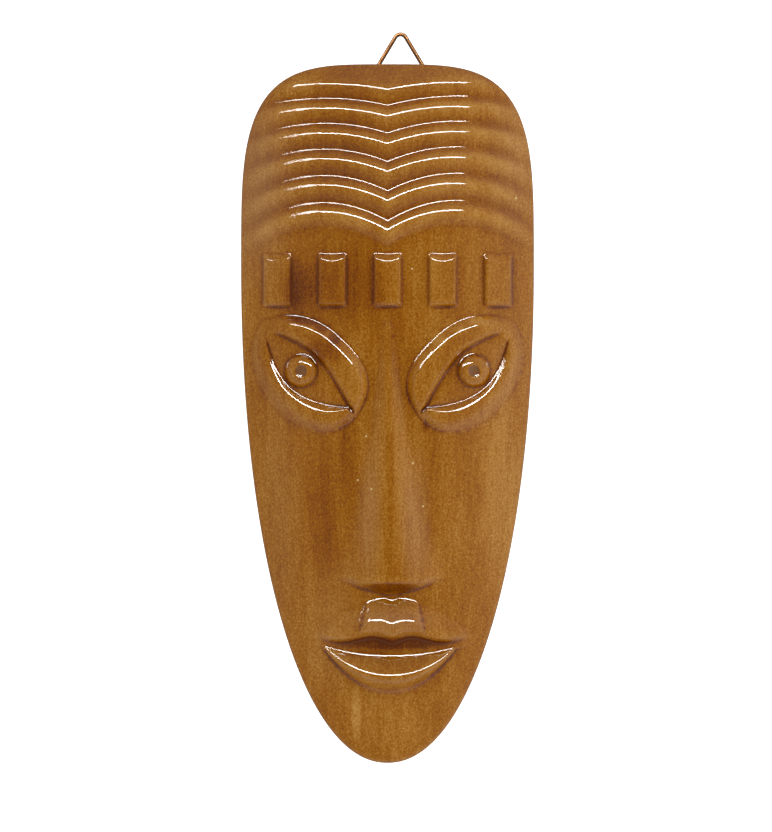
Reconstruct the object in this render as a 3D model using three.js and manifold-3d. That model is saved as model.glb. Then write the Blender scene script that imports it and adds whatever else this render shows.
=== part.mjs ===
import * as THREE from 'three';
import { mergeVertices } from 'three/addons/utils/BufferGeometryUtils.js';
import Module from 'manifold-3d';

// A carved wooden wall mask with a bent wire loop, lying on its back rim.
// Lengths are in millimetres. +X runs across the face, +Y from the chin to the top of the head,
// and +Z comes out of the face. Inside the functions, up is the distance above the chin.

// Outline
const MASK_LENGTH = 300;
const HALF_WIDTH = 62.9;
const WIDEST_UP = 213.7;
const CHIN_POWER = 2.1;
const HEAD_POWER = 3.8;

// Thickness
const EDGE_THICKNESS = 10;
const CROWN_RISE = 21.8;
const CROWN_POWER = 2.4;
const CROWN_FULLNESS = 2.3;
const ARRIS = 1.6;
const WALL = 9.5;
const RIM_WIDTH = 11;
const CARVING_FLOOR = 2;
const HOLLOW_SLOPE = 1.9;
const HOLLOW_LIP = 2;
const HOLLOW_ROUNDING = 3;

// Combed hair: asymmetric ridges on two arcs that meet in a V at the middle
const RIDGES = 6;
const FIRST_CREST_UP = 289.6;
const RIDGE_PITCH = 11.6;
const PITCH_GROWTH = 0.14;
const RIDGE_HEIGHT = 2.4;
const CREST_SHARE = 0.04;
const GROOVE_SHARE = 0.61;
const RISER_SHARE = 0.83;
const RISER_HEIGHT_SHARE = 0.57;
const ARC_PEAK_X = 28.4;
const ARC_RISE = 2.8;
const ARC_RISE_GROWTH = 0.093;
const HAIR_TILT = 0.015;
const HAIR_FADE = 0.7;
const FADE_START = 0.82;

// Five raised blocks on the forehead
const BLOCKS = 5;
const BLOCK_PITCH = 23.7;
const BLOCK_WIDTH = 11.8;
const BLOCK_LOW = 195.7;
const BLOCK_TOP = 218.3;
const BLOCK_HEIGHT = 2;
const BLOCK_DRAFT = 1;
const BLOCK_LOW_DRAFT = 1.6;
const BLOCK_FOOT = 0.3;
const BLOCK_SCOOP = 3.5;
const SCOOP_CURVE = 0.55;

// Nose: a wedge from between the brows down to the nostrils
const NOSE_TOP = 190.1;
const NOSE_TIP = 80.5;
const NOSE_EDGE = 78.2;
const NOSE_FOOT = 71.8;
const NOSE_FOOT_HALF = 18;
const NOSE_FOOT_POWER = 1.6;
const NOSE_END_LEAST = 1.2;
const NOSE_WING_EASE = 3;
const NOSTRIL_CORNER = 4;
const NOSTRIL_TUCK = 0.9;
const NOSE_TOP_HALF = 1.5;
const NOSE_SPREAD = 0.137;
const NOSTRIL_FLARE = 5.6;
const FLARE_START = 121.6;
const FLARE_LENGTH = 36.5;
const NOSE_TOP_HEIGHT = 0.8;
const NOSE_TIP_HEIGHT = 6.4;
const NOSE_SIDE_FOOT = 0.25;
const NOSE_RIDGE_ROUND = 0.36;
const NOSE_DRIFT = 1.3;

// Eyes, in their own slanted axes: along runs from the inner to the outer corner, across runs up.
// Each line is a hump over its peak, with its own length, power and fullness towards each corner.
const EYE_X = 35.05;
const EYE_UP = 169.1;
const EYE_SLANT = THREE.MathUtils.degToRad(42.3);
const EYE_REACH = 30.6;
const MOUND_TOP = { height: 20, peak: 0, inner: [29.5, 3, 0.5], outer: [29.5, 2, 0.7] };
const MOUND_LOW = { height: -21.8, peak: -4, inner: [27.7, 2.5, 0.6], outer: [32, 2, 0.6] };
const LID_CREASE = { height: 6.5, peak: 2, inner: [26.8, 1.6, 1], outer: [22.8, 1.6, 1] };
const LOWER_LID_CREST = { height: -12.9, peak: -3.3, inner: [21.6, 2.5, 1], outer: [26.3, 2.6, 1] };
const LOWER_LID_INSIDE = { height: -10.2, peak: -1, inner: [23.5, 1.7, 1], outer: [25, 1.7, 1] };
const MOUND_HEIGHT = 4.3;
const MOUND_BACK = 7.2;
const MOUND_FRONT = 9;
const MOUND_FOOT = 0.9;
const MOUND_INNER_END = 8;
const MOUND_OUTER_END = 16;
const LID_HEIGHT = 4.2;
const LID_ROLL = 3;
const LOWER_LID_HEIGHT = 4.1;
const LID_CREST_SHARE = 0.64;
const EYEBALL_HEIGHT = 1.3;
const EYEBALL_CROWN = 0.5;
const OPENING_FADE = [14, 27];
const BUTTON_X = 37.1;
const BUTTON_UP = 168.2;
const BUTTON_RADIUS = 6.6;
const BUTTON_EDGE = 1.1;
const BUTTON_WALL = 1;
const BUTTON_CROWN = 2.8;
const DIMPLE_RADIUS = 2.65;
const DIMPLE_DEPTH = 1.1;

// Mouth: the height of each line at the middle, its rise to the corners and the power of its curve
const MOUTH_X = 2;
const MOUTH_HALF = 35;
const LIP_TOP = { middle: 72, rise: -17.5, power: 1.7 };
const PHILTRUM = { depth: 1.4, width: 2.4 };
const SEAM = { middle: 53.4, wave: 1.15, bow: 8.6, power: 0.75 };
const LOWER_LIP_RIM = { middle: 47.1, rise: 5.9, power: 2.6 };
const LOWER_LIP_CREST = { middle: 36.7, rise: 20.6, power: 2 };
const LOWER_LIP_FOOT = { middle: 30.2, rise: 30.5, power: 2.1 };
const LOWER_LIP_DRIFT = 0.9;
const LIP_PROJECTION = 8.2;
const UPPER_LIP_BACK = 1.09;
const UPPER_LIP_DROP = 0.16;
const UPPER_LIP_EDGE = 4.5;
const BOW_BACK = 0.84;
const BOW_RISE = 0.14;
const BOW_HALF = 10.6;
const BOW_SPREAD = 0.22;
const BOW_SIDE_SLOPE = 1.3;
const LOWER_LIP_BACK = 13;
const LOWER_LIP_FRONT = 8.5;
const LIP_FOOT = 0.9;
const LIP_TAPER = 0.8;
const MOUTH_FLOOR = 0.5;

// Hanging wire
const WIRE_DIAMETER = 1.8;
const LOOP_X = 5.6;
const LOOP_RISE = 13.7;
const LOOP_HALF_ANGLE = THREE.MathUtils.degToRad(31);
const LOOP_HEIGHT_ABOVE_BACK = 6;
const BEND_RADIUS = 2.6;
const HOLE_DEPTH = 9;
const HOLE_CLEARANCE = 0.3;
const HOLE_PAST_WIRE = 0.6;

const PART_LENGTH = MASK_LENGTH + LOOP_RISE;

// The rows of the front bend with the outline over the chin and over the head
const CHIN_CAP_UP = 20;
const CHIN_CAP_END = 8;
const HEAD_CAP_HALF = 44;

// A patch of carving sinks this far below the dome at its border, its plain parts lie this far under it,
// and the lines of a patch keep this far apart
const SUNK = -1.2;
const UNDER_DOME = 0.15;
const LEAST_GAP = 0.25;

// How finely the surfaces are divided
const BLANK_COLUMNS = 30;
const FACE_ROWS = 16;
const HOLLOW_COLUMNS = 12;
const EYE_COLUMNS = 22;
const NOSE_ROWS = 10;
const HALF_LIP = [2.2, 5, 8, BOW_HALF, 12.6, 15, 18.5, 22, 25.5, 29, 32, MOUTH_HALF];
const LIP_COLUMNS = [...HALF_LIP.map((x) => -x).reverse(), 0, ...HALF_LIP];

const { lerp, clamp, smoothstep } = THREE.MathUtils;
const wasm = await Module();
wasm.setup();

// Half the mask's width at a height above the chin
function halfWidth(up) {
  const [reach, power] = up < WIDEST_UP ? [WIDEST_UP, CHIN_POWER] : [MASK_LENGTH - WIDEST_UP, HEAD_POWER];
  const t = clamp(Math.abs(up - WIDEST_UP) / reach, 0, 1);
  return HALF_WIDTH * (1 - t ** power) ** (1 / power);
}

// The outline's height at a distance from the middle, at the head or at the chin
function outlineUp(x, atHead) {
  const power = atHead ? HEAD_POWER : CHIN_POWER;
  const reach = atHead ? MASK_LENGTH - WIDEST_UP : -WIDEST_UP;
  const t = clamp(Math.abs(x) / HALF_WIDTH, 0, 1);
  return WIDEST_UP + reach * (1 - t ** power) ** (1 / power);
}

// 0 at the crown of the face and 1 on the outline
function edgeShare(x, up) {
  const [reach, power] = up < WIDEST_UP ? [WIDEST_UP, CHIN_POWER] : [MASK_LENGTH - WIDEST_UP, HEAD_POWER];
  const across = Math.abs(x) / HALF_WIDTH;
  const along = Math.abs(up - WIDEST_UP) / reach;
  return (across ** power + along ** power) ** (1 / power);
}

// The rounded front without its carving; towards the upper corners its edge gets thinner
function domeHeight(x, up) {
  const below = up < WIDEST_UP;
  const power = below ? CHIN_POWER : CROWN_POWER;
  const along = Math.abs(up - WIDEST_UP) / (below ? WIDEST_UP : MASK_LENGTH - WIDEST_UP);
  const share = ((Math.abs(x) / HALF_WIDTH) ** power + along ** power) ** (1 / power);
  return EDGE_THICKNESS + CROWN_RISE * (1 - share ** CROWN_FULLNESS);
}

// A rise from 0 to 1 whose slope grows over the first share, holds, and eases off over the last
function ramp(share, first, last) {
  const slope = 1 / (1 - (first + last) / 2);
  const t = clamp(share, 0, 1);
  if (t < first) return (slope * t * t) / (2 * first);
  if (t < 1 - last) return slope * (t - first / 2);
  return 1 - (slope * (1 - t) ** 2) / (2 * last);
}

// The lower of two heights, with a fillet where they meet
function smoothMin(a, b, rounding) {
  const share = clamp(0.5 + (b - a) / (2 * rounding), 0, 1);
  return lerp(b, a, share) - rounding * share * (1 - share);
}

// Every line of the hair is two arcs that leave the middle in a V; its level is its height at the V
function hairArch(x) {
  const t = (Math.abs(x) - ARC_PEAK_X) / ARC_PEAK_X;
  return 1 - t * t;
}

function hairLine(level, x) {
  const rise = ARC_RISE + ARC_RISE_GROWTH * (FIRST_CREST_UP - level);
  return level + rise * hairArch(x) + HAIR_TILT * x;
}

function crestLevel(ridge) {
  return FIRST_CREST_UP - RIDGE_PITCH * ridge - PITCH_GROWTH * ridge * ridge;
}

function hairFade(x, up) {
  return 1 - HAIR_FADE * smoothstep(Math.abs(x) / Math.max(1, halfWidth(up)), FADE_START, 1);
}

// Where a line of the hair meets the outline
function lineEnd(line) {
  let inside = 0;
  let outside = HALF_WIDTH;
  for (let step = 0; step < 40; step += 1) {
    const x = (inside + outside) / 2;
    if (halfWidth(line(x)) > x) inside = x;
    else outside = x;
  }
  return inside;
}

// The rows of the carved front, from the chin to the top: half width, height across, and relief
function frontRows() {
  const rows = [];
  const chinHalf = halfWidth(CHIN_CAP_END);
  for (const t of [0, 0.08, 0.35, 0.7]) {
    const endUp = lerp(CHIN_CAP_END, CHIN_CAP_UP, t);
    const sag = (s) => (CHIN_CAP_END - outlineUp(s * chinHalf, false)) / CHIN_CAP_END;
    rows.push({
      reach: halfWidth(endUp),
      up: (s) => endUp - (endUp - CHIN_CAP_UP * t) * sag(s),
      relief: 0,
    });
  }
  for (let row = 0; row <= FACE_ROWS; row += 1) {
    const up = lerp(CHIN_CAP_UP, BLOCK_TOP, row / FACE_ROWS);
    rows.push({ reach: halfWidth(up), up: () => up, relief: 0 });
  }
  const line = (level, relief) => {
    const up = (x) => hairLine(level, x);
    const reach = lineEnd(up);
    rows.push({ reach, up: (s) => up(s * reach), relief });
  };
  for (let ridge = RIDGES - 1; ridge >= 0; ridge -= 1) {
    const crest = crestLevel(ridge);
    const next = crestLevel(ridge + 1);
    const above = crestLevel(ridge - 1);
    line(lerp(crest, next, GROOVE_SHARE), 0);
    line(lerp(crest, next, CREST_SHARE), RIDGE_HEIGHT);
    if (ridge > 0) line(lerp(above, crest, RISER_SHARE), RIDGE_HEIGHT * RISER_HEIGHT_SHARE);
  }
  const firstLine = (x) => hairLine(FIRST_CREST_UP, x);
  const firstReach = lineEnd(firstLine);
  const archEnd = outlineUp(HEAD_CAP_HALF, true);
  for (const t of [0.3, 0.6, 0.85, 1]) {
    const endUp = lerp(firstLine(firstReach), archEnd, t);
    const reach = halfWidth(endUp);
    const low = (s) => firstLine(s * reach) - firstLine(reach);
    const high = (s) => outlineUp(s * HEAD_CAP_HALF, true) - archEnd;
    rows.push({ reach, up: (s) => endUp + lerp(low(s), high(s), t), relief: RIDGE_HEIGHT * (1 - t) });
  }
  return rows;
}

// Columns spread evenly, with one more close to each edge for the arris
function columnShares(count) {
  const edge = 1 - ARRIS / HALF_WIDTH;
  const shares = [];
  for (let column = 0; column <= count; column += 1) shares.push(lerp(-edge, edge, column / count));
  return [-1, ...shares, 1];
}

// A closed solid whose top goes through rows of points and whose sides drop to a flat floor
function gridSolid(rows, floor) {
  const count = rows[0].length;
  const total = rows.length * count;
  const positions = [...rows.flat(2)];
  for (const [x, y] of rows.flat()) positions.push(x, y, floor);
  const index = [];
  const quad = (a, b, c, d) => index.push(a, b, c, a, c, d);
  for (let i = 0; i + 1 < rows.length; i += 1) {
    for (let j = 0; j + 1 < count; j += 1) {
      const a = i * count + j;
      const b = a + 1;
      const c = b + count;
      const d = a + count;
      quad(a, b, c, d);
      quad(a + total, d + total, c + total, b + total);
    }
    const left = i * count;
    const right = left + count - 1;
    quad(left, left + count, left + count + total, left + total);
    quad(right, right + total, right + count + total, right + count);
  }
  for (let j = 0; j + 1 < count; j += 1) {
    const low = j;
    const high = total - count + j;
    quad(low, low + total, low + 1 + total, low + 1);
    quad(high, high + 1, high + 1 + total, high + total);
  }
  const geometry = new THREE.BufferGeometry();
  geometry.setAttribute('position', new THREE.Float32BufferAttribute(positions, 3));
  geometry.setIndex(index);
  return toSolid(geometry);
}

function toSolid(geometry) {
  geometry.deleteAttribute('normal');
  geometry.deleteAttribute('uv');
  const welded = mergeVertices(geometry, 1e-4);
  return new wasm.Manifold(new wasm.Mesh({
    numProp: 3,
    vertProperties: new Float32Array(welded.attributes.position.array),
    triVerts: new Uint32Array(welded.index.array),
  }));
}

function toGeometry(solid) {
  const mesh = solid.getMesh();
  const geometry = new THREE.BufferGeometry();
  geometry.setAttribute('position', new THREE.BufferAttribute(new Float32Array(mesh.vertProperties), 3));
  geometry.setIndex(new THREE.BufferAttribute(new Uint32Array(mesh.triVerts), 1));
  geometry.computeVertexNormals();
  return geometry;
}

// The blank: the domed front with its combed hair, before the features are added
function blank() {
  const shares = columnShares(BLANK_COLUMNS);
  const specs = frontRows();
  const rows = specs.map((row, i) => shares.map((s) => {
    const x = s * row.reach;
    const up = row.up(s);
    const onEdge = Math.abs(s) === 1 || i === 0 || i === specs.length - 1;
    const z = domeHeight(x, up) + row.relief * hairFade(x, up);
    return [x, up, onEdge ? z - ARRIS / 2 : z];
  }));
  return gridSolid(rows, 0);
}

// A patch of carving: lines of points, each with its relief over the dome; its border lies under the dome
function patch(lines) {
  const rows = lines.map((line) => line.map(([x, up, relief]) => [x, up, domeHeight(x, up) + relief]));
  return gridSolid(rows, CARVING_FLOOR);
}

// Half the nose's width at a height above the chin
function noseHalf(up) {
  const below = NOSE_TOP - up;
  const flare = Math.max(0, (FLARE_START - up) / FLARE_LENGTH);
  const corner = smoothstep(up, NOSE_FOOT - NOSTRIL_CORNER, NOSE_TIP + NOSTRIL_CORNER);
  const half = NOSE_TOP_HALF + NOSE_SPREAD * below + NOSTRIL_FLARE * flare ** 1.5;
  return half * lerp(NOSTRIL_TUCK, 1, corner);
}

function noseMiddle(up) {
  return NOSE_DRIFT * clamp((NOSE_TOP - up) / (NOSE_TOP - NOSE_TIP), 0, 1);
}

// The nose ends in a slope between its foot, which rises towards the nostrils, and its lower edge
function noseFoot(x) {
  const share = Math.min(1, Math.abs(x - NOSE_DRIFT) / NOSE_FOOT_HALF);
  return NOSE_FOOT + (NOSE_EDGE - NOSE_END_LEAST - NOSE_FOOT) * share ** NOSE_FOOT_POWER;
}

function noseEdge(x) {
  return NOSE_EDGE + NOSE_WING_EASE * smoothstep(Math.abs(x - NOSE_DRIFT), 12, 21);
}

function noseRelief(x, up) {
  const footShare = 1 + NOSE_SIDE_FOOT / 2;
  const share = Math.abs(x - noseMiddle(up)) / noseHalf(up);
  const section = ramp((footShare - share) / footShare, NOSE_SIDE_FOOT, NOSE_RIDGE_ROUND);
  const along = clamp((NOSE_TOP - up) / (NOSE_TOP - NOSE_TIP), 0, 1);
  const foot = noseFoot(x);
  const end = ramp((up - foot) / (noseEdge(x) - foot), 0.15, 0.25);
  return lerp(NOSE_TOP_HEIGHT, NOSE_TIP_HEIGHT, along) * section * end;
}

function nose() {
  const halfShares = [0.2, 0.45, 0.7, 0.9, 1.05, 1.15];
  const shares = [...halfShares.map((share) => -share).reverse(), 0, ...halfShares];
  const lines = [];
  const line = (rowUp, bend, sunk) => lines.push(shares.map((share) => {
    const x = noseMiddle(rowUp) + share * noseHalf(rowUp);
    const up = bend(x);
    return [x, up, sunk || Math.abs(share) > 1.1 ? SUNK : noseRelief(x, up)];
  }));
  line(NOSE_FOOT, (x) => noseFoot(x) - 1, true);
  for (const t of [0.1, 0.5, 0.9]) {
    line(lerp(NOSE_FOOT, NOSE_EDGE, t), (x) => lerp(noseFoot(x), noseEdge(x), t), false);
  }
  for (let step = 1; step <= NOSE_ROWS; step += 1) {
    const t = step / NOSE_ROWS;
    line(lerp(NOSE_EDGE, NOSE_TOP, t), (x) => lerp(noseEdge(x), NOSE_TOP, t), false);
  }
  line(NOSE_TOP, () => NOSE_TOP + 3, true);
  return patch(lines);
}

// A hump of height 1 between -1 and 1
function hump(t, power, fullness) {
  return Math.max(0, 1 - Math.abs(t) ** power) ** fullness;
}

function eyeLine({ height, peak, inner, outer }) {
  return (along) => {
    const [length, power, fullness] = along < peak ? inner : outer;
    return height * hump((along - peak) / length, power, fullness);
  };
}

const moundTop = eyeLine(MOUND_TOP);
const moundLow = eyeLine(MOUND_LOW);
const lidCrease = eyeLine(LID_CREASE);
const lidCrest = eyeLine(LOWER_LID_CREST);
const lidInside = eyeLine(LOWER_LID_INSIDE);

function eyeRelief(along, across) {
  const inside = lidInside(along);
  const crease = Math.max(lidCrease(along), inside + 0.1);
  const crest = Math.min(lidCrest(along), inside - 0.8);
  const front = ramp((across - moundLow(along) + MOUND_FOOT) / MOUND_FRONT, 0.35, 0.5);
  const back = ramp((moundTop(along) - across + MOUND_FOOT) / MOUND_BACK, 0.3, 0.45);
  const reach = along < 0 ? MOUND_INNER_END : MOUND_OUTER_END;
  const end = ramp((EYE_REACH + MOUND_FOOT - Math.abs(along)) / reach, 0.4, 0.5);
  const mound = MOUND_HEIGHT * smoothMin(front, back, 0.12) * end;
  const ballShare = clamp((across - inside) / (crease - inside), 0, 1);
  const ball = EYEBALL_HEIGHT + EYEBALL_CROWN * (1 - (2 * ballShare - 1) ** 2);
  const lowerShare = (LID_CREST_SHARE * (inside - across)) / (inside - crest);
  const lower = (LOWER_LID_HEIGHT - EYEBALL_HEIGHT) * ramp(lowerShare, 0.1, 0.7);
  const upper = (LID_HEIGHT - EYEBALL_HEIGHT) * ramp((across - crease) / LID_ROLL, 0.3, 0.5);
  const carved = lerp(ball + lower + upper, LOWER_LID_HEIGHT, smoothstep(along, ...OPENING_FADE));
  return Math.max(0, smoothMin(mound, carved, 0.7));
}

function eye(side) {
  const lines = [
    (along) => moundLow(along) - 1.6,
    (along) => moundLow(along) - 0.4,
    (along) => moundLow(along) + 2,
    (along) => moundLow(along) + 5,
    (along) => lidCrest(along) - 1.3,
    lidCrest,
    lidInside,
    (along) => (lidCrease(along) + lidInside(along)) / 2,
    lidCrease,
    (along) => lidCrease(along) + LID_ROLL / 2,
    (along) => lidCrease(along) + LID_ROLL,
    (along) => moundTop(along) - 5.5,
    (along) => moundTop(along) - 3,
    (along) => moundTop(along) - 1,
    (along) => moundTop(along) + 0.4,
    (along) => moundTop(along) + 1.6,
  ];
  const rows = lines.map(() => []);
  for (let column = 0; column <= EYE_COLUMNS; column += 1) {
    const along = lerp(-EYE_REACH - MOUND_FOOT, EYE_REACH + MOUND_FOOT, column / EYE_COLUMNS);
    const atEnd = column === 0 || column === EYE_COLUMNS;
    let across = -Infinity;
    lines.forEach((line, i) => {
      across = Math.max(line(along), across + LEAST_GAP);
      const x = -side * (EYE_X + along * Math.cos(EYE_SLANT) - across * Math.sin(EYE_SLANT));
      const up = EYE_UP + along * Math.sin(EYE_SLANT) + across * Math.cos(EYE_SLANT);
      const border = atEnd || i === 0 || i === lines.length - 1;
      rows[i].push([x, up, border ? SUNK : eyeRelief(along, across) || -UNDER_DOME]);
    });
  }
  if (side > 0) rows.forEach((points) => points.reverse());
  return patch(rows);
}

// The round pupil with a dimple, a turned shape standing on the eyeball
function button(side) {
  const sunk = 6;
  const top = (radius) => BUTTON_EDGE + BUTTON_CROWN * (1 - (radius / BUTTON_RADIUS) ** 3);
  const profile = [
    [0, -sunk],
    [BUTTON_RADIUS + BUTTON_WALL / 2, -sunk],
    [BUTTON_RADIUS + BUTTON_WALL / 2, 0],
    [BUTTON_RADIUS - BUTTON_WALL / 2, top(BUTTON_RADIUS - BUTTON_WALL / 2)],
    [BUTTON_RADIUS * 0.7, top(BUTTON_RADIUS * 0.7)],
    [DIMPLE_RADIUS, top(DIMPLE_RADIUS)],
    [DIMPLE_RADIUS * 0.6, top(DIMPLE_RADIUS) - DIMPLE_DEPTH * 0.75],
    [0, top(DIMPLE_RADIUS) - DIMPLE_DEPTH],
  ];
  const geometry = new THREE.LatheGeometry(profile.map(([r, h]) => new THREE.Vector2(r, h)), 24);
  const x = -side * BUTTON_X;
  const step = 1;
  const slopeX = (domeHeight(x + step, BUTTON_UP) - domeHeight(x - step, BUTTON_UP)) / (2 * step);
  const slopeUp = (domeHeight(x, BUTTON_UP + step) - domeHeight(x, BUTTON_UP - step)) / (2 * step);
  const normal = new THREE.Vector3(-slopeX, -slopeUp, 1).normalize();
  geometry.applyQuaternion(new THREE.Quaternion().setFromUnitVectors(new THREE.Vector3(0, 1, 0), normal));
  geometry.translate(x, BUTTON_UP, domeHeight(x, BUTTON_UP) + EYEBALL_HEIGHT);
  return toSolid(geometry);
}

// A raised block whose upper end is scooped back, most at its middle
function block(index) {
  const middle = (index - (BLOCKS - 1) / 2) * BLOCK_PITCH;
  const half = BLOCK_WIDTH / 2;
  const columns = [-half - 1, -half - BLOCK_FOOT, -half + BLOCK_DRAFT, -half / 3, half / 3, half - BLOCK_DRAFT,
    half + BLOCK_FOOT, half + 1];
  const scoop = (dx) => BLOCK_SCOOP * (1 - SCOOP_CURVE * Math.min(1, Math.abs(dx) / half) ** 2);
  const lines = [
    [() => BLOCK_LOW - 1, SUNK],
    [() => BLOCK_LOW - BLOCK_FOOT, -UNDER_DOME],
    [() => BLOCK_LOW + BLOCK_LOW_DRAFT, BLOCK_HEIGHT],
    [(dx) => BLOCK_TOP - scoop(dx), BLOCK_HEIGHT],
    [() => BLOCK_TOP + BLOCK_FOOT, -UNDER_DOME],
    [() => BLOCK_TOP + 1, SUNK],
  ];
  return patch(lines.map(([line, relief]) => columns.map((dx, i) => {
    const border = i === 0 || i === columns.length - 1;
    const foot = i === 1 || i === columns.length - 2;
    return [middle + dx, line(dx), border ? SUNK : Math.min(relief, foot ? -UNDER_DOME : BLOCK_HEIGHT)];
  })));
}

function mouthLine({ middle, rise, power }) {
  return (x) => middle + rise * (Math.abs(x) / MOUTH_HALF) ** power;
}

const plainLipTop = mouthLine(LIP_TOP);
const lipRim = mouthLine(LOWER_LIP_RIM);
const lipCrest = mouthLine(LOWER_LIP_CREST);
const plainLipFoot = mouthLine(LOWER_LIP_FOOT);

function lipTop(x) {
  return plainLipTop(x) - PHILTRUM.depth * Math.exp(-((x / PHILTRUM.width) ** 2));
}

function seam(x) {
  return SEAM.middle - SEAM.wave * Math.cos(Math.PI * (Math.abs(x) / SEAM.bow) ** SEAM.power);
}

function lipFoot(x) {
  return Math.min(plainLipFoot(x + LOWER_LIP_DRIFT), lipRim(x) - 0.5);
}

// The lips' relief over the dome; x is measured from the middle of the mouth
function lipRelief(x, up) {
  const partLine = seam(x);
  const rim = lipRim(x);
  const foot = lipFoot(x);
  const upperWidth = Math.max(0.5, lipTop(x) - partLine);
  const upperHeight = LIP_PROJECTION * (upperWidth / (LIP_TOP.middle - SEAM.middle)) ** LIP_TAPER;
  const upperShare = (partLine + upperWidth + LIP_FOOT - up) / upperWidth;
  const plain = upperHeight * (1 - UPPER_LIP_DROP) * ramp(upperShare / UPPER_LIP_BACK, 0.12, 0.25);
  const bow = upperHeight * (1 + BOW_RISE) * ramp(upperShare / BOW_BACK, 0.12, 0.2) - plain;
  const bowHalf = BOW_HALF + BOW_SPREAD * (LIP_TOP.middle - up);
  const bowSide = BOW_SIDE_SLOPE * Math.max(0, bowHalf - Math.abs(x));
  const upperBack = plain + Math.max(0, smoothMin(bow, bowSide, 0.15));
  const upperEdge = ramp((up - partLine + LIP_FOOT) / UPPER_LIP_EDGE, 0.1, 0.75);
  const upper = smoothMin(upperBack, MOUTH_FLOOR + (upperHeight - MOUTH_FLOOR) * upperEdge, 0.5);
  const lowerWidth = (rim - foot) / (LOWER_LIP_RIM.middle - LOWER_LIP_FOOT.middle);
  const lowerHeight = LIP_PROJECTION * lowerWidth ** LIP_TAPER;
  const lowerFront = lowerHeight * ramp((up - foot + LIP_FOOT) / (LOWER_LIP_FRONT * lowerWidth), 0.3, 0.5);
  const lowerShare = (rim + LIP_FOOT * lowerWidth - up) / (LOWER_LIP_BACK * lowerWidth);
  const lowerBack = lerp(MOUTH_FLOOR, lowerHeight, ramp(lowerShare, 0.16, 0.22));
  const lower = smoothMin(lowerFront, lowerBack, 1.2 * lowerWidth);
  return Math.max(0, up > (partLine + rim) / 2 ? upper : lower);
}

function lips() {
  const lines = [
    (x) => lipFoot(x) - 1.8,
    (x) => lipFoot(x) - 0.5,
    (x) => lerp(lipFoot(x), lipCrest(x), 0.45),
    lipCrest,
    (x) => lerp(lipCrest(x), lipRim(x), 0.35),
    (x) => lerp(lipCrest(x), lipRim(x), 0.7),
    (x) => lipRim(x) + 0.4,
    (x) => seam(x) - 0.5,
    (x) => seam(x) + 0.9,
    (x) => seam(x) + 2.4,
    (x) => lerp(seam(x), lipTop(x), 0.33),
    (x) => lerp(seam(x), lipTop(x), 0.6),
    (x) => lerp(seam(x), lipTop(x), 0.85),
    (x) => lipTop(x) + 0.6,
    (x) => lipTop(x) + 1.8,
  ];
  const rows = lines.map(() => []);
  for (const x of LIP_COLUMNS) {
    const atEnd = Math.abs(x) === MOUTH_HALF;
    let up = -Infinity;
    lines.forEach((line, i) => {
      up = Math.max(line(x), up + LEAST_GAP);
      const border = atEnd || i === 0 || i === lines.length - 1;
      rows[i].push([MOUTH_X + x, up, border ? SUNK : lipRelief(x, up) || -UNDER_DOME]);
    });
  }
  return patch(rows);
}

// The gouged hollow at the back, which follows the front at the wall's thickness
function hollow() {
  const shares = columnShares(HOLLOW_COLUMNS);
  const sideScale = 1 - RIM_WIDTH / HALF_WIDTH;
  const specs = frontRows().filter((row, i, all) => i % 2 === 0 || i === all.length - 1);
  const rows = specs.map((row, i) => shares.map((s) => {
    const rawUp = row.up(s);
    const reach = rawUp < WIDEST_UP ? WIDEST_UP : MASK_LENGTH - WIDEST_UP;
    const up = WIDEST_UP + (rawUp - WIDEST_UP) * (1 - RIM_WIDTH / reach);
    const x = s * row.reach * sideScale;
    const fromEdge = (1 - Math.min(1, edgeShare(x / sideScale, rawUp))) * HALF_WIDTH * sideScale;
    const rise = HOLLOW_LIP + HOLLOW_SLOPE * fromEdge;
    const ceiling = domeHeight(x, up) - WALL;
    const z = smoothMin(rise, ceiling, HOLLOW_ROUNDING);
    const onEdge = Math.abs(s) === 1 || i === 0 || i === specs.length - 1;
    return [x, up, onEdge ? HOLLOW_LIP : Math.max(HOLLOW_LIP, z)];
  }));
  return gridSolid(rows, -HOLLOW_LIP);
}

// The wire's centre line, from one hole over the bend to the other
function wirePath() {
  const apexUp = PART_LENGTH - WIRE_DIAMETER / 2;
  const sin = Math.sin(LOOP_HALF_ANGLE);
  const cos = Math.cos(LOOP_HALF_ANGLE);
  const bendCentre = apexUp - BEND_RADIUS;
  const tangentX = BEND_RADIUS * cos;
  const tangentUp = bendCentre + BEND_RADIUS * sin;
  const legLength = (tangentUp - MASK_LENGTH) / cos + HOLE_DEPTH;
  const z = LOOP_HEIGHT_ABOVE_BACK;
  const foot = (side) => new THREE.Vector3(
    LOOP_X + side * (tangentX + legLength * sin),
    tangentUp - legLength * cos,
    z,
  );
  const points = [];
  const straightSteps = 6;
  const bendSteps = 8;
  const tangent = (side) => new THREE.Vector3(LOOP_X + side * tangentX, tangentUp, z);
  for (let i = 0; i < straightSteps; i += 1) {
    points.push(foot(-1).lerp(tangent(-1), i / straightSteps));
  }
  for (let i = 0; i <= bendSteps; i += 1) {
    const angle = lerp(Math.PI - LOOP_HALF_ANGLE, LOOP_HALF_ANGLE, i / bendSteps);
    points.push(new THREE.Vector3(
      LOOP_X + BEND_RADIUS * Math.cos(angle),
      bendCentre + BEND_RADIUS * Math.sin(angle),
      z,
    ));
  }
  for (let i = 1; i <= straightSteps; i += 1) {
    points.push(tangent(1).lerp(foot(1), i / straightSteps));
  }
  return points;
}

function roundSection(radius, sides) {
  const shape = new THREE.Shape();
  for (let i = 0; i < sides; i += 1) {
    const angle = (2 * Math.PI * i) / sides;
    const point = [radius * Math.cos(angle), radius * Math.sin(angle)];
    if (i === 0) shape.moveTo(...point);
    else shape.lineTo(...point);
  }
  shape.closePath();
  return shape;
}

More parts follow.
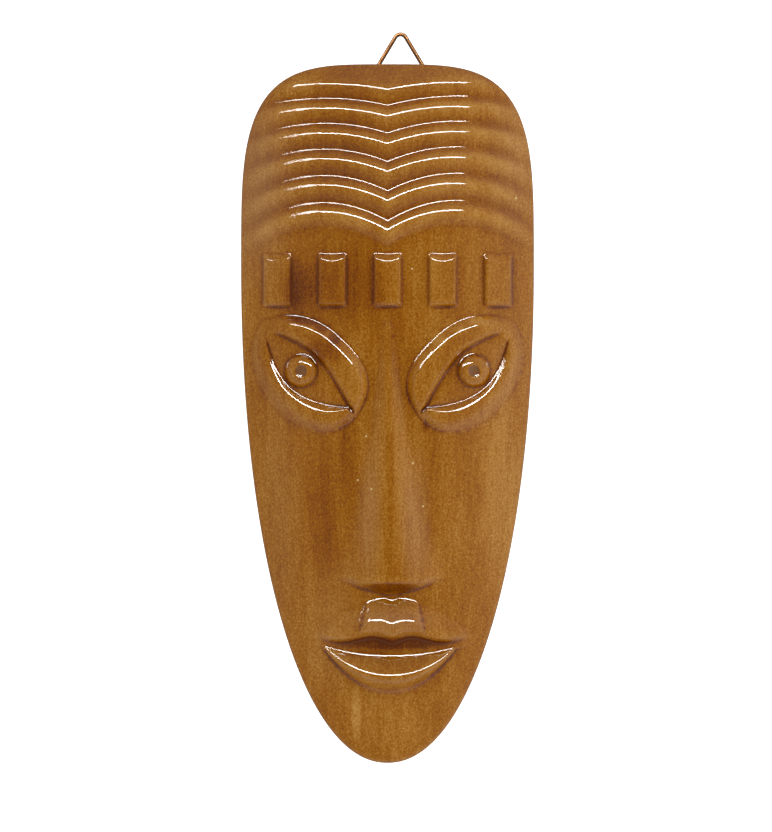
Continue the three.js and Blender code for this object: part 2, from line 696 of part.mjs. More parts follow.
function wire() {
  const curve = new THREE.CatmullRomCurve3(wirePath(), false, 'chordal');
  return new THREE.ExtrudeGeometry(roundSection(WIRE_DIAMETER / 2, 8), {
    extrudePath: curve,
    steps: 30,
    bevelEnabled: false,
  });
}

// The drilled hole that takes one end of the wire
function wireHole(side) {
  const path = wirePath();
  const [foot, next] = side < 0 ? [path[0], path[1]] : [path.at(-1), path.at(-2)];
  const direction = next.clone().sub(foot).normalize();
  const length = HOLE_DEPTH + 6;
  const geometry = new THREE.CylinderGeometry(
    WIRE_DIAMETER / 2 + HOLE_CLEARANCE,
    WIRE_DIAMETER / 2 + HOLE_CLEARANCE,
    length,
    12,
  );
  geometry.applyQuaternion(new THREE.Quaternion().setFromUnitVectors(new THREE.Vector3(0, 1, 0), direction));
  const centre = foot.clone().addScaledVector(direction, length / 2 - HOLE_PAST_WIRE);
  geometry.translate(centre.x, centre.y, centre.z);
  return toSolid(geometry);
}

function carvedMask() {
  let solid = blank().add(nose()).add(lips());
  for (const side of [-1, 1]) solid = solid.add(eye(side)).add(button(side));
  for (let index = 0; index < BLOCKS; index += 1) solid = solid.add(block(index));
  solid = solid.subtract(hollow());
  for (const side of [-1, 1]) solid = solid.subtract(wireHole(side));
  return toGeometry(solid);
}

const lacqueredWood = new THREE.MeshStandardMaterial({ color: '#8e5a1e', roughness: 0.18, metalness: 0 });
const brassWire = new THREE.MeshStandardMaterial({ color: '#b08a62', roughness: 0.35, metalness: 1 });

const part = new THREE.Group();

const mask = new THREE.Mesh(carvedMask(), lacqueredWood);
mask.name = 'mask';
mask.position.y = -PART_LENGTH / 2;
part.add(mask);

const hangingWire = new THREE.Mesh(wire(), brassWire);
hangingWire.name = 'hanging_wire';
hangingWire.position.y = -PART_LENGTH / 2;
part.add(hangingWire);

export default part;
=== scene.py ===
import math

import bpy
import numpy as np
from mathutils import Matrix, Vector, kdtree
from mathutils.geometry import delaunay_2d_cdt


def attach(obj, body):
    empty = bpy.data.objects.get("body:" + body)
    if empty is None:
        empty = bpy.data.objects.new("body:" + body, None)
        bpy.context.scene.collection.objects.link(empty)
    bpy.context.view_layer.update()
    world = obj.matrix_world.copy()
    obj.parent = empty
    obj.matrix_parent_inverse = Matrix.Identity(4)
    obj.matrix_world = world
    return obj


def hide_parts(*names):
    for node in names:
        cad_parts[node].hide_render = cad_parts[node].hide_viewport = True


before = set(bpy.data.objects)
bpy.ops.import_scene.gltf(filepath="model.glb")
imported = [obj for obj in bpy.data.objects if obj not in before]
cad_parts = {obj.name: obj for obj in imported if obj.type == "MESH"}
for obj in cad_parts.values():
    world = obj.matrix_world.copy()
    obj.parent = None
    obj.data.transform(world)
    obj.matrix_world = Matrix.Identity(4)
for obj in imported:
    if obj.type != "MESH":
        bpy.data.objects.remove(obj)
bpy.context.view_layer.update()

# A carved and lacquered wooden mask with its wire loop, lying on its back rim.
# The carving is worked out in millimetres: x runs across the face, up is the distance above the chin
# and heights are over the back rim. Finished pieces are in metres.
MM = 0.001

# Outline
MASK_LENGTH = 300
HALF_WIDTH = 62.9
WIDEST_UP = 213.7
CHIN_POWER = 2.1
HEAD_POWER = 3.8
OUTLINE_SAMPLES = 20001
TOP_SHARE_MOST = 0.995

# Thickness
EDGE_THICKNESS = 10
CROWN_RISE = 21.8
CROWN_POWER = 2.4
CROWN_FULLNESS = 2.3
EDGE_ROUND = 1.8
BACK_ARRIS = 0.8
WALL = 9.5
RIM_WIDTH = 11
HOLLOW_SLOPE = 1.9
HOLLOW_LIP = 2
HOLLOW_ROUNDING = 3
GOUGE_WIDTH = 11
GOUGE_LENGTH = 46
GOUGE_DEPTH = 0.45
GOUGE_SCOOP = 0.55
GOUGE_START = (1, 6)
GOUGE_SWAY = 0.22
GOUGE_SWAY_LENGTH = 31
GOUGE_STAGGER = 0.37

# Combed hair: asymmetric ridges on two arcs that meet in a V at the middle
RIDGES = 6
FIRST_CREST_UP = 289.6
RIDGE_PITCH = 11.6
PITCH_GROWTH = 0.14
RIDGE_HEIGHT = 2.4
CREST_TURN = 0.42
CREST_LINE = 0.17
STEEP_SHARE = 0.08
GROOVE_TURN = 0.275
GROOVE_LINE = 0.638
ARC_PEAK_X = 28.4
ARC_RISE = 2.8
ARC_RISE_GROWTH = 0.093
RISER_TIGHTENING = 0.5
HAIR_TILT = 0.015
RISER_MIDDLE = 0.82
HAIR_FADE = 0.7
FADE_START = 0.82

# Five raised blocks on the forehead. Here and below, an ease is how a slope starts and ends: see ramp().
BLOCKS = 5
BLOCK_PITCH = 23.7
BLOCK_WIDTH = 11.8
BLOCK_LOW = 195.7
BLOCK_TOP = 218.3
BLOCK_HEIGHT = 2
BLOCK_DRAFT = 1.5
BLOCK_FOOT = 0.45
BLOCK_SCOOP = 3.9
SCOOP_CURVE = 0.55
BLOCK_LOW_DRAFT = 1.6 * BLOCK_DRAFT
BLOCK_SIDE_EASE = (0.3, 0.4)
BLOCK_TOP_EASE = (0.12, 0.16)

# Nose
NOSE_TOP = 190.1
NOSE_TIP = 80.5
NOSE_EDGE = 78.2
NOSE_FOOT = 71.8
NOSE_FOOT_HALF = 18
NOSE_FOOT_POWER = 1.6
NOSE_END_LEAST = 1.2
NOSE_WING_EASE = 3
NOSTRIL_CORNER = 4
NOSTRIL_TUCK = 0.9
NOSE_TOP_HALF = 1.5
NOSE_SPREAD = 0.137
NOSTRIL_FLARE = 5.6
FLARE_START = 121.6
FLARE_LENGTH = 36.5
FLARE_POWER = 1.5
NOSE_TOP_HEIGHT = 0.8
NOSE_TIP_HEIGHT = 6.4
NOSE_SIDE_FOOT = 0.25
NOSE_RIDGE_ROUND = 0.36
NOSE_DRIFT = 1.3
NOSE_WING = (12, 21)
NOSE_END_EASE = (0.15, 0.25)
NOSE_TOP_ABOVE = 4
NOSE_TOP_FADE = 6
NOSE_TOP_EASE = (0.5, 0.5)

# Eyes, in their own slanted axes: along runs from the inner to the outer corner, across runs up.
# Each line is a hump over its peak, with its own length, power and fullness towards each corner.
EYE_X = 35.05
EYE_UP = 169.1
EYE_SLANT = math.radians(42.3)
EYE_REACH = 30.6
MOUND_TOP = {"height": 20, "peak": 0, "inner": (29.5, 3, 0.5), "outer": (29.5, 2, 0.7)}
MOUND_LOW = {"height": -21.8, "peak": -4, "inner": (27.7, 2.5, 0.6), "outer": (32, 2, 0.6)}
LID_CREASE = {"height": 6.5, "peak": 2, "inner": (26.8, 1.6, 1), "outer": (22.8, 1.6, 1)}
LOWER_LID_CREST = {"height": -12.9, "peak": -3.3, "inner": (21.6, 2.5, 1), "outer": (26.3, 2.6, 1)}
LOWER_LID_INSIDE = {"height": -10.2, "peak": -1, "inner": (23.5, 1.7, 1), "outer": (25, 1.7, 1)}
MOUND_HEIGHT = 4.3
MOUND_BACK = 7.2
MOUND_FRONT = 9
MOUND_FOOT = 0.9
MOUND_INNER_END = 8
MOUND_OUTER_END = 16
MOUND_FRONT_EASE = (0.35, 0.5)
MOUND_BACK_EASE = (0.3, 0.45)
MOUND_END_EASE = (0.4, 0.5)
MOUND_TOP_ROUNDING = 0.12
MOUND_START = 0.6
MOUND_START_EASE = (0.5, 0.4)
LID_HEIGHT = 4.2
LID_ROLL = 3
LID_EASE = (0.3, 0.5)
LID_ROUNDING = 0.7
LOWER_LID_HEIGHT = 4.1
LID_CREST_SHARE = 0.64
LOWER_LID_EASE = (0.1, 0.7)
LOWER_LID_LEAST = 0.8
EYE_OPENING_LEAST = 0.1
EYEBALL_HEIGHT = 1.3
EYEBALL_CROWN = 0.5
OPENING_FADE = (14, 27)
BUTTON_X = 37.1
BUTTON_UP = 168.2
BUTTON_RADIUS = 6.6
BUTTON_EDGE = 1.1
BUTTON_WALL = 1
BUTTON_CROWN = 2.75
BUTTON_CROWN_POWER = 3
BUTTON_FOOT_SHARE = 0.6
BUTTON_EASE = (0.4, 0.3)
DIMPLE_RADIUS = 2.65
DIMPLE_WALL = 1
DIMPLE_EDGE = 0.7
DIMPLE_BOWL = 0.6
DIMPLE_EASE = (0.3, 0.3)

# Mouth: the height of each line at the middle, its rise to the corners and the power of its curve
MOUTH_X = 2
MOUTH_HALF = 35
LIP_TOP = (72, -17.5, 1.7)
PHILTRUM_DEPTH = 1.4
PHILTRUM_WIDTH = 2.4
SEAM_MIDDLE = 53.4
SEAM_WAVE = 1.15
SEAM_BOW = 8.6
SEAM_POWER = 0.75
LOWER_LIP_RIM = (47.1, 5.9, 2.6)
LOWER_LIP_CREST = (36.7, 20.6, 2)
LOWER_LIP_FOOT = (30.2, 30.5, 2.1)
LOWER_LIP_DRIFT = 0.9
LIP_PROJECTION = 8.2
UPPER_LIP_BACK = 1.09
UPPER_LIP_DROP = 0.16
UPPER_LIP_EASE = (0.12, 0.25)
UPPER_LIP_ROUNDING = 0.5
BOW_BACK = 0.84
BOW_RISE = 0.14
BOW_HALF = 10.6
BOW_SIDE_SLOPE = 1.3
BOW_SPREAD = 0.22
BOW_EASE = (0.12, 0.2)
BOW_ROUNDING = 0.15
UPPER_LIP_EDGE = 4.5
UPPER_LIP_EDGE_EASE = (0.1, 0.75)
SEAM_FOOT = 0.9
LOWER_LIP_BACK = 13
LOWER_LIP_FRONT = 8.5
LOWER_LIP_BACK_EASE = (0.16, 0.22)
LOWER_LIP_FRONT_EASE = (0.3, 0.5)
LOWER_LIP_ROUNDING = 1.2
LIP_FOOT = 0.9
LIP_TAPER = 0.8
LIP_LEAST = 0.5
MOUTH_FLOOR = 0.5
MOUTH_CORNER = 7
MOUTH_CORNER_EASE = (0.4, 0.4)

# The slight unevenness that the gouge and the sandpaper left
BROAD_WOBBLE = 0.06
CLOSE_WOBBLE = 0.03

# Hanging wire
WIRE_DIAMETER = 1.8
LOOP_X = 5.6
LOOP_RISE = 13.7
LOOP_HALF_ANGLE = math.radians(31)
LOOP_HEIGHT_ABOVE_BACK = 6
BEND_RADIUS = 2.6
HOLE_DEPTH = 9
LEG_STOPS = 14
BEND_STOPS = 17
WIRE_SIDES = 18

PART_LENGTH = MASK_LENGTH + LOOP_RISE

# Painted shade and stain in creases: creases less deep than this take none. The nose's flanks get painted
# sheen, but not within this distance of its middle. The radii say how far round a point the carving is
# compared with it, to tell how deep it lies.
CREASE_LEAST = 0.09
BLOCK_CREASE = 0.4
NOSE_MIDDLE_HALF = 3
NOSE_SIDE_START = (0.1, 1.4)
RECESS_RADII = (1.2, 2.2, 3.4)
CREASE_RADII = (0.7, 1.1)
COMBING_RADII = (3.4, 5.6)
FRONT_MARGIN = 1
BARE_MARGIN = 0.5

# How finely the carving is divided: the spacing beside its lines, and the levels of the plain wood.
# The least spacing and the gaps are shares of a step.
LINE_STEP = 0.55
CLOSE_LINE_STEP = LINE_STEP * 0.8
LINE_LEAST = 0.6
LINE_GAP = 0.62
RING_GAP = 0.6
CIRCLE_DENSITY = 1.3
SEAM_LINES = (-0.4, 0.2, 0.8)
NOSE_FOOT_LINES = (1, 3)
NOSE_FOOT_REACH = 20
BUTTON_FOOT_LINE = 0.7
FINE_STEP = 0.6
NEAR_LINE = 3.4
MIDDLE_LINE = 9
RING_POINTS = 860
HOLLOW_STEP = 1.9
EDGE_STOPS = (0.22, 0.44, 0.66, 0.84, 1)
EDGE_MIDDLE = 0.45
ARRIS_MIDDLE = 0.3


def smoothstep(value, low, high):
    """0 up to low, 1 from high on, and smooth between them."""
    t = np.clip((value - low) / (high - low), 0, 1)
    return t * t * (3 - 2 * t)


def smooth_max(a, b, rounding):
    """The higher of two surfaces, with a fillet where they meet."""
    share = np.clip(0.5 + 0.5 * (a - b) / rounding, 0, 1)
    return b + (a - b) * share + rounding * share * (1 - share)


def smooth_min(a, b, rounding):
    return -smooth_max(-a, -b, rounding)


def reach_and_power(up):
    """How far the outline reaches from its widest place, and the power of its curve there."""
    below = up < WIDEST_UP
    return np.where(below, WIDEST_UP, MASK_LENGTH - WIDEST_UP), np.where(below, CHIN_POWER, HEAD_POWER)


def edge_share(x, up):
    """0 at the crown of the face and 1 on the outline."""
    reach, power = reach_and_power(up)
    return ((np.abs(x) / HALF_WIDTH) ** power + (np.abs(up - WIDEST_UP) / reach) ** power) ** (1 / power)


def dome(x, up):
    """The rounded front without its carving. Towards the upper corners its edge gets thinner."""
    reach, power = reach_and_power(up)
    power = np.minimum(power, CROWN_POWER)
    share = ((np.abs(x) / HALF_WIDTH) ** power + (np.abs(up - WIDEST_UP) / reach) ** power) ** (1 / power)
    return EDGE_THICKNESS + CROWN_RISE * (1 - share**CROWN_FULLNESS)


def outline_loop(count):
    """Points on the outline, evenly spaced and counter-clockwise."""
    angle = np.linspace(0, 2 * np.pi, OUTLINE_SAMPLES)
    power = np.where(np.sin(angle) < 0, CHIN_POWER, HEAD_POWER)
    reach = np.where(np.sin(angle) < 0, WIDEST_UP, MASK_LENGTH - WIDEST_UP)
    x = HALF_WIDTH * np.sign(np.cos(angle)) * np.abs(np.cos(angle)) ** (2 / power)
    up = WIDEST_UP + reach * np.sign(np.sin(angle)) * np.abs(np.sin(angle)) ** (2 / power)
    travelled = np.concatenate([[0], np.cumsum(np.hypot(np.diff(x), np.diff(up)))])
    stops = np.linspace(0, travelled[-1], count, endpoint=False)
    return np.interp(stops, travelled, x), np.interp(stops, travelled, up)


def drawn_in(x, up, inset):
    """The same place on an outline that lies further in."""
    reach, _ = reach_and_power(up)
    return x * (1 - inset / HALF_WIDTH), WIDEST_UP + (up - WIDEST_UP) * (1 - inset / reach)


def hair_arch(x):
    """0 at the V in the middle and 1 at the top of the arc on each side."""
    return 1 - ((np.abs(x) - ARC_PEAK_X) / ARC_PEAK_X) ** 2


def hair_line(level, x):
    """How far above the chin a hair line runs, which has the given level at the V."""
    return level + (ARC_RISE + ARC_RISE_GROWTH * (FIRST_CREST_UP - level)) * hair_arch(x) + HAIR_TILT * x


def crest_level(ridge):
    """The level of a ridge's crest line, counted from the top one."""
    return FIRST_CREST_UP - RIDGE_PITCH * ridge - PITCH_GROWTH * ridge**2


def hair_ridge_count(x, up):
    """How many ridges down from the first crest a point lies: whole numbers on the crests."""
    arch = hair_arch(x)
    straight = up - HAIR_TILT * x - (ARC_RISE + ARC_RISE_GROWTH * FIRST_CREST_UP) * arch
    level = straight / (1 - ARC_RISE_GROWTH * arch)
    inside = RIDGE_PITCH**2 + 4 * PITCH_GROWTH * (FIRST_CREST_UP - level)
    return (np.sqrt(np.maximum(inside, 0)) - RIDGE_PITCH) / (2 * PITCH_GROWTH)


def outline_top(x):
    """The outline over a place of the hair."""
    share = np.clip(np.abs(x) / HALF_WIDTH, 0, 1)
    return WIDEST_UP + (MASK_LENGTH - WIDEST_UP) * (1 - share**HEAD_POWER) ** (1 / HEAD_POWER)


def outline_half(up):
    """Half the mask's width at the height of the hair."""
    share = np.clip((up - WIDEST_UP) / (MASK_LENGTH - WIDEST_UP), 0, TOP_SHARE_MOST)
    return HALF_WIDTH * (1 - share**HEAD_POWER) ** (1 / HEAD_POWER)


def ramp(share, first, last):
    """A rise from 0 to 1 whose slope grows over the first share, holds, and eases off over the last."""
    slope = 1 / (1 - (first + last) / 2)
    share = np.clip(share, 0, 1)
    start = slope * share**2 / (2 * first)
    middle = slope * (share - first / 2)
    end = 1 - slope * (1 - share) ** 2 / (2 * last)
    return np.where(share < first, start, np.where(share < 1 - last, middle, end))


def join(a, b):
    """The higher of two carved forms, softly joined where both stand proud."""
    sharpness = 5
    return (np.maximum(a, 0) ** sharpness + np.maximum(b, 0) ** sharpness) ** (1 / sharpness)


def ridge_section(samples=400):
    """One ridge's section from its crest line down to the next, as shares of the pitch and of the height."""
    groove_start = 1 - CREST_LINE - STEEP_SHARE - GROOVE_TURN
    tread_start = CREST_TURN - CREST_LINE
    tread = groove_start - tread_start
    turns = (CREST_TURN + GROOVE_TURN) / 2
    fall = (turns + STEEP_SHARE) / (turns + tread)
    on_line = 1 - (1 + fall) * CREST_LINE / CREST_TURN
    stops = [0, tread_start, groove_start, groove_start + GROOVE_TURN, 1 - CREST_LINE, 1]
    slopes = [on_line, -fall, -fall, 1, 1, on_line]
    share = np.linspace(0, 1, samples + 1)
    slope = np.interp(share, stops, slopes)
    height = np.concatenate([[0], np.cumsum((slope[1:] + slope[:-1]) / 2)])
    height -= height.min()
    return share, height / height.max()


RIDGE_SHARE, RIDGE_SECTION = ridge_section()
GROOVE_BOTTOM = RIDGE_SHARE[RIDGE_SECTION.argmin()]


def ridge_height(count):
    """The section of the ridges; the upper ones have a shorter, steeper riser."""
    share = count - np.floor(count)
    tighter = RISER_TIGHTENING * np.clip(1 - count / (RIDGES - 1), 0, 1)
    share = (share + tighter * np.sin(2 * np.pi * (share - RISER_MIDDLE)) / (2 * np.pi)) % 1
    return np.interp(share, RIDGE_SHARE, RIDGE_SECTION)


def hair(x, up):
    """The combed ridges. They get lower towards the outline."""
    count = hair_ridge_count(x, up)
    ridge = ridge_height(count)
    first = hair_line(FIRST_CREST_UP, x)
    to_top = (up - first) / np.maximum(outline_top(x) - first, 1)
    ridge = np.where(count < 0, ridge_height(0) * (1 - np.clip(to_top, 0, 1)), ridge)
    ridge = np.where(count > RIDGES - 1 + GROOVE_BOTTOM, 0, ridge)
    fade = 1 - HAIR_FADE * smoothstep(np.abs(x) / outline_half(up), FADE_START, 1)
    return RIDGE_HEIGHT * ridge * fade


def nose_half(up):
    """Half the nose's width, which flares towards the nostrils."""
    below = np.maximum(NOSE_TOP - up, -NOSE_TOP_HALF)
    flare = np.maximum(0, (FLARE_START - up) / FLARE_LENGTH)
    corner = smoothstep(up, NOSE_FOOT - NOSTRIL_CORNER, NOSE_TIP + NOSTRIL_CORNER)
    half = NOSE_TOP_HALF + NOSE_SPREAD * below + NOSTRIL_FLARE * flare**FLARE_POWER
    return half * (NOSTRIL_TUCK + (1 - NOSTRIL_TUCK) * corner)


def nose_middle(up):
    """The nose's middle line, which drifts to one side on its way down."""
    return NOSE_DRIFT * np.clip((NOSE_TOP - up) / (NOSE_TOP - NOSE_TIP), 0, 1)


def nose_foot(x):
    """The lower end of the nose, higher at the nostrils than at the middle."""
    share = np.minimum(1, np.abs(x - NOSE_DRIFT) / NOSE_FOOT_HALF)
    return NOSE_FOOT + (NOSE_EDGE - NOSE_END_LEAST - NOSE_FOOT) * share**NOSE_FOOT_POWER


def nose(x, up):
    """The wedge of the nose, lowest between the eyes and highest at the tip."""
    foot_share = 1 + NOSE_SIDE_FOOT / 2
    share = np.abs(x - nose_middle(up)) / nose_half(up)
    section = ramp((foot_share - share) / foot_share, NOSE_SIDE_FOOT, NOSE_RIDGE_ROUND)
    along = np.clip((NOSE_TOP - up) / (NOSE_TOP - NOSE_TIP), 0, 1)
    height = NOSE_TOP_HEIGHT + (NOSE_TIP_HEIGHT - NOSE_TOP_HEIGHT) * along
    foot = nose_foot(x)
    edge = NOSE_EDGE + NOSE_WING_EASE * smoothstep(np.abs(x - NOSE_DRIFT), *NOSE_WING)
    end = ramp((up - foot) / (edge - foot), *NOSE_END_EASE)
    top = ramp((NOSE_TOP + NOSE_TOP_ABOVE - up) / NOSE_TOP_FADE, *NOSE_TOP_EASE)
    return height * section * end * top


def hump(t, power, fullness):
    """1 at nought and 0 from 1 on, to both sides."""
    return np.maximum(0, 1 - np.abs(t) ** power) ** fullness


def eye_line(line, along):
    """How far across the eye one of its lines runs."""
    inner = hump((along - line["peak"]) / line["inner"][0], *line["inner"][1:])
    outer = hump((along - line["peak"]) / line["outer"][0], *line["outer"][1:])
    return line["height"] * np.where(along < line["peak"], inner, outer)


def eye_axes(x, up, side):
    """A place of the face in one eye's own axes."""
    out = -side * x - EYE_X
    rise = up - EYE_UP
    cos = math.cos(EYE_SLANT)
    sin = math.sin(EYE_SLANT)
    return out * cos + rise * sin, rise * cos - out * sin


def eye(x, up, side):
    """The mound of one eye, with its two lids and the eyeball between them."""
    along, across = eye_axes(x, up, side)
    low = eye_line(MOUND_LOW, along)
    inside = eye_line(LOWER_LID_INSIDE, along)
    crease = np.maximum(eye_line(LID_CREASE, along), inside + EYE_OPENING_LEAST)
    top = eye_line(MOUND_TOP, along)
    crest = np.minimum(eye_line(LOWER_LID_CREST, along), inside - LOWER_LID_LEAST)
    front = ramp((across - low + MOUND_FOOT) / MOUND_FRONT, *MOUND_FRONT_EASE)
    back = ramp((top - across + MOUND_FOOT) / MOUND_BACK, *MOUND_BACK_EASE)
    reach = np.where(along < 0, MOUND_INNER_END, MOUND_OUTER_END)
    end = ramp((EYE_REACH + MOUND_FOOT - np.abs(along)) / reach, *MOUND_END_EASE)
    mound = MOUND_HEIGHT * smooth_min(front, back, MOUND_TOP_ROUNDING) * end
    closed = smoothstep(along, *OPENING_FADE)
    ball_share = np.clip((across - inside) / (crease - inside), 0, 1)
    ball = EYEBALL_HEIGHT + EYEBALL_CROWN * (1 - (2 * ball_share - 1) ** 2)
    lower_share = LID_CREST_SHARE * (inside - across) / (inside - crest)
    lower = (LOWER_LID_HEIGHT - EYEBALL_HEIGHT) * ramp(lower_share, *LOWER_LID_EASE)
    upper = (LID_HEIGHT - EYEBALL_HEIGHT) * ramp((across - crease) / LID_ROLL, *LID_EASE)
    carved = ball + lower + upper
    carved += (LOWER_LID_HEIGHT - carved) * closed
    start = ramp(mound / MOUND_START, *MOUND_START_EASE)
    return np.maximum(smooth_min(mound, carved, LID_ROUNDING), 0) * start


def button(x, up, side):
    """The round pupil's height over the eyeball, with its dimple."""
    radius = np.hypot(-side * x - BUTTON_X, up - BUTTON_UP)
    edge = (BUTTON_RADIUS + BUTTON_WALL * BUTTON_FOOT_SHARE - radius) / BUTTON_WALL
    top = BUTTON_EDGE * ramp(edge, *BUTTON_EASE)
    top += BUTTON_CROWN * np.maximum(0, 1 - (radius / BUTTON_RADIUS) ** BUTTON_CROWN_POWER)
    dimple = DIMPLE_EDGE * ramp((DIMPLE_RADIUS + DIMPLE_WALL / 2 - radius) / DIMPLE_WALL, *DIMPLE_EASE)
    return top - dimple - DIMPLE_BOWL * np.maximum(0, 1 - (radius / DIMPLE_RADIUS) ** 2)


def mouth_line(line, x):
    """The height above the chin of one of the mouth's lines."""
    middle, rise, power = line
    return middle + rise * (np.abs(x) / MOUTH_HALF) ** power


def lip_top(x):
    """The upper lip's top line, with the dip under the nose."""
    return mouth_line(LIP_TOP, x) - PHILTRUM_DEPTH * np.exp(-((x / PHILTRUM_WIDTH) ** 2))


def seam(x):
    """The line where the lips meet: a wave that is lowest in the middle."""
    return SEAM_MIDDLE - SEAM_WAVE * np.cos(np.pi * (np.abs(x) / SEAM_BOW) ** SEAM_POWER)


def lips(x, up):
    """The upper lip with its bow, and the lower lip."""
    x = x - MOUTH_X
    part_line = seam(x)
    top = np.maximum(lip_top(x), part_line + LIP_LEAST)
    rim = mouth_line(LOWER_LIP_RIM, x)
    foot = np.minimum(mouth_line(LOWER_LIP_FOOT, x + LOWER_LIP_DRIFT), rim - LIP_LEAST)
    upper_width = (top - part_line) / (LIP_TOP[0] - SEAM_MIDDLE)
    upper_height = LIP_PROJECTION * upper_width**LIP_TAPER
    upper_share = (top + LIP_FOOT - up) / (top - part_line)
    upper_back = upper_height * (1 - UPPER_LIP_DROP) * ramp(upper_share / UPPER_LIP_BACK, *UPPER_LIP_EASE)
    bow = upper_height * (1 + BOW_RISE) * ramp(upper_share / BOW_BACK, *BOW_EASE) - upper_back
    bow_half = BOW_HALF + BOW_SPREAD * (LIP_TOP[0] - up)
    bow_side = BOW_SIDE_SLOPE * np.maximum(0, bow_half - np.abs(x))
    upper_back += np.maximum(0, smooth_min(bow, bow_side, BOW_ROUNDING))
    from_seam = (up - part_line + SEAM_FOOT) / UPPER_LIP_EDGE
    upper_edge = (upper_height - MOUTH_FLOOR) * ramp(from_seam, *UPPER_LIP_EDGE_EASE)
    upper = smooth_min(upper_back, MOUTH_FLOOR + upper_edge, UPPER_LIP_ROUNDING)
    lower_width = (rim - foot) / (LOWER_LIP_RIM[0] - LOWER_LIP_FOOT[0])
    lower_height = LIP_PROJECTION * lower_width**LIP_TAPER
    front_share = (up - foot + LIP_FOOT) / (LOWER_LIP_FRONT * lower_width)
    lower_front = lower_height * ramp(front_share, *LOWER_LIP_FRONT_EASE)
    back_share = (rim + LIP_FOOT * lower_width - up) / (LOWER_LIP_BACK * lower_width)
    lower_back = MOUTH_FLOOR + (lower_height - MOUTH_FLOOR) * ramp(back_share, *LOWER_LIP_BACK_EASE)
    lower = smooth_min(lower_front, lower_back, LOWER_LIP_ROUNDING * lower_width)
    relief = np.where(up > (part_line + rim) / 2, upper, lower)
    inside = ramp((MOUTH_HALF - np.abs(x)) / MOUTH_CORNER, *MOUTH_CORNER_EASE)
    return np.maximum(relief, 0) * inside


def blocks(x, up):
    """The blocks of the forehead, each with a scooped slope at its top."""
    nearest = np.clip(np.round(x / BLOCK_PITCH), -(BLOCKS // 2), BLOCKS // 2) * BLOCK_PITCH
    half = BLOCK_WIDTH / 2
    side = ramp((half + BLOCK_FOOT - np.abs(x - nearest)) / BLOCK_DRAFT, *BLOCK_SIDE_EASE)
    low = ramp((up - BLOCK_LOW + BLOCK_FOOT) / BLOCK_LOW_DRAFT, *BLOCK_SIDE_EASE)
    scoop = BLOCK_SCOOP * (1 - SCOOP_CURVE * np.minimum(1, np.abs(x - nearest) / half) ** 2)
    top = ramp((BLOCK_TOP + BLOCK_FOOT - up) / scoop, *BLOCK_TOP_EASE)
    return BLOCK_HEIGHT * side * low * top


def hand_wobble(x, up):
    """A broad and a closer pattern of shallow waves."""
    broad = np.sin(x / 7.3 + up / 11.1) * np.sin(up / 8.7 - x / 13.0)
    close = np.sin(x / 3.9 + 1.3) * np.sin(up / 5.1 + 0.7)
    return BROAD_WOBBLE * broad + CLOSE_WOBBLE * close


def nose_eyes_and_mouth(x, up):
    relief = nose(x, up)
    for side in (-1, 1):
        relief = join(relief, eye(x, up, side)) + button(x, up, side)
    return join(relief, lips(x, up))


def features(x, up):
    return join(blocks(x, up), nose_eyes_and_mouth(x, up))


def relief_height(x, up):
    return hair(x, up) + features(x, up)


def face_height(x, up):
    """The carved front's height over the back rim."""
    return dome(x, up) + relief_height(x, up) + hand_wobble(x, up)


def line_points():
    """Points along every line of the carving, so that the mesh follows its edges."""
    xs = np.arange(-HALF_WIDTH, HALF_WIDTH, LINE_STEP)
    found = []
    for ridge in range(RIDGES):
        crest = crest_level(ridge)
        groove = crest + (crest_level(ridge + 1) - crest) * GROOVE_LINE
        found += [(xs, hair_line(crest, xs)), (xs, hair_line(groove, xs))]
    along = np.arange(-EYE_REACH, EYE_REACH, CLOSE_LINE_STEP)
    for side in (-1, 1):
        for line, shift in (
            (LOWER_LID_INSIDE, 0),
            (LOWER_LID_CREST, 0),
            (LID_CREASE, 0),
            (LID_CREASE, LID_ROLL / 2),
            (MOUND_TOP, 0),
            (MOUND_TOP, -MOUND_BACK / 2),
        ):
            across = eye_line(line, along) + shift
            out = EYE_X + along * math.cos(EYE_SLANT) - across * math.sin(EYE_SLANT)
            found.append((-side * out, EYE_UP + along * math.sin(EYE_SLANT) + across * math.cos(EYE_SLANT)))
        for radius in (BUTTON_RADIUS + BUTTON_FOOT_LINE, BUTTON_RADIUS, DIMPLE_RADIUS):
            count = int(2 * np.pi * radius / LINE_STEP * CIRCLE_DENSITY)
            turn = np.linspace(0, 2 * np.pi, count, endpoint=False)
            found.append((-side * BUTTON_X + radius * np.cos(turn), BUTTON_UP + radius * np.sin(turn)))
    across_nose = np.arange(-NOSE_FOOT_REACH, NOSE_FOOT_REACH, LINE_STEP)
    for shift in NOSE_FOOT_LINES:
        found.append((NOSE_DRIFT + across_nose, nose_foot(NOSE_DRIFT + across_nose) + shift))
    mouth = np.arange(-MOUTH_HALF, MOUTH_HALF, CLOSE_LINE_STEP)
    for line_up in (
        mouth_line(LOWER_LIP_CREST, mouth),
        mouth_line(LOWER_LIP_RIM, mouth),
        *(seam(mouth) + shift for shift in SEAM_LINES),
        lip_top(mouth),
    ):
        found.append((MOUTH_X + mouth, line_up))
    for index in range(BLOCKS):
        middle = (index - BLOCKS // 2) * BLOCK_PITCH
        half = BLOCK_WIDTH / 2
        wide = np.arange(-half, half, LINE_STEP)
        tall = np.arange(BLOCK_LOW, BLOCK_TOP, LINE_STEP)
        scoop = BLOCK_SCOOP * (1 - SCOOP_CURVE * (wide / half) ** 2)
        for line_up in (np.full_like(wide, BLOCK_LOW), np.full_like(wide, BLOCK_TOP), BLOCK_TOP - scoop):
            found.append((middle + wide, line_up))
        found += [(np.full_like(tall, middle + edge * half), tall) for edge in (-1, 1)]
    x = np.concatenate([points[0] for points in found])
    up = np.concatenate([points[1] for points in found])
    return x, up


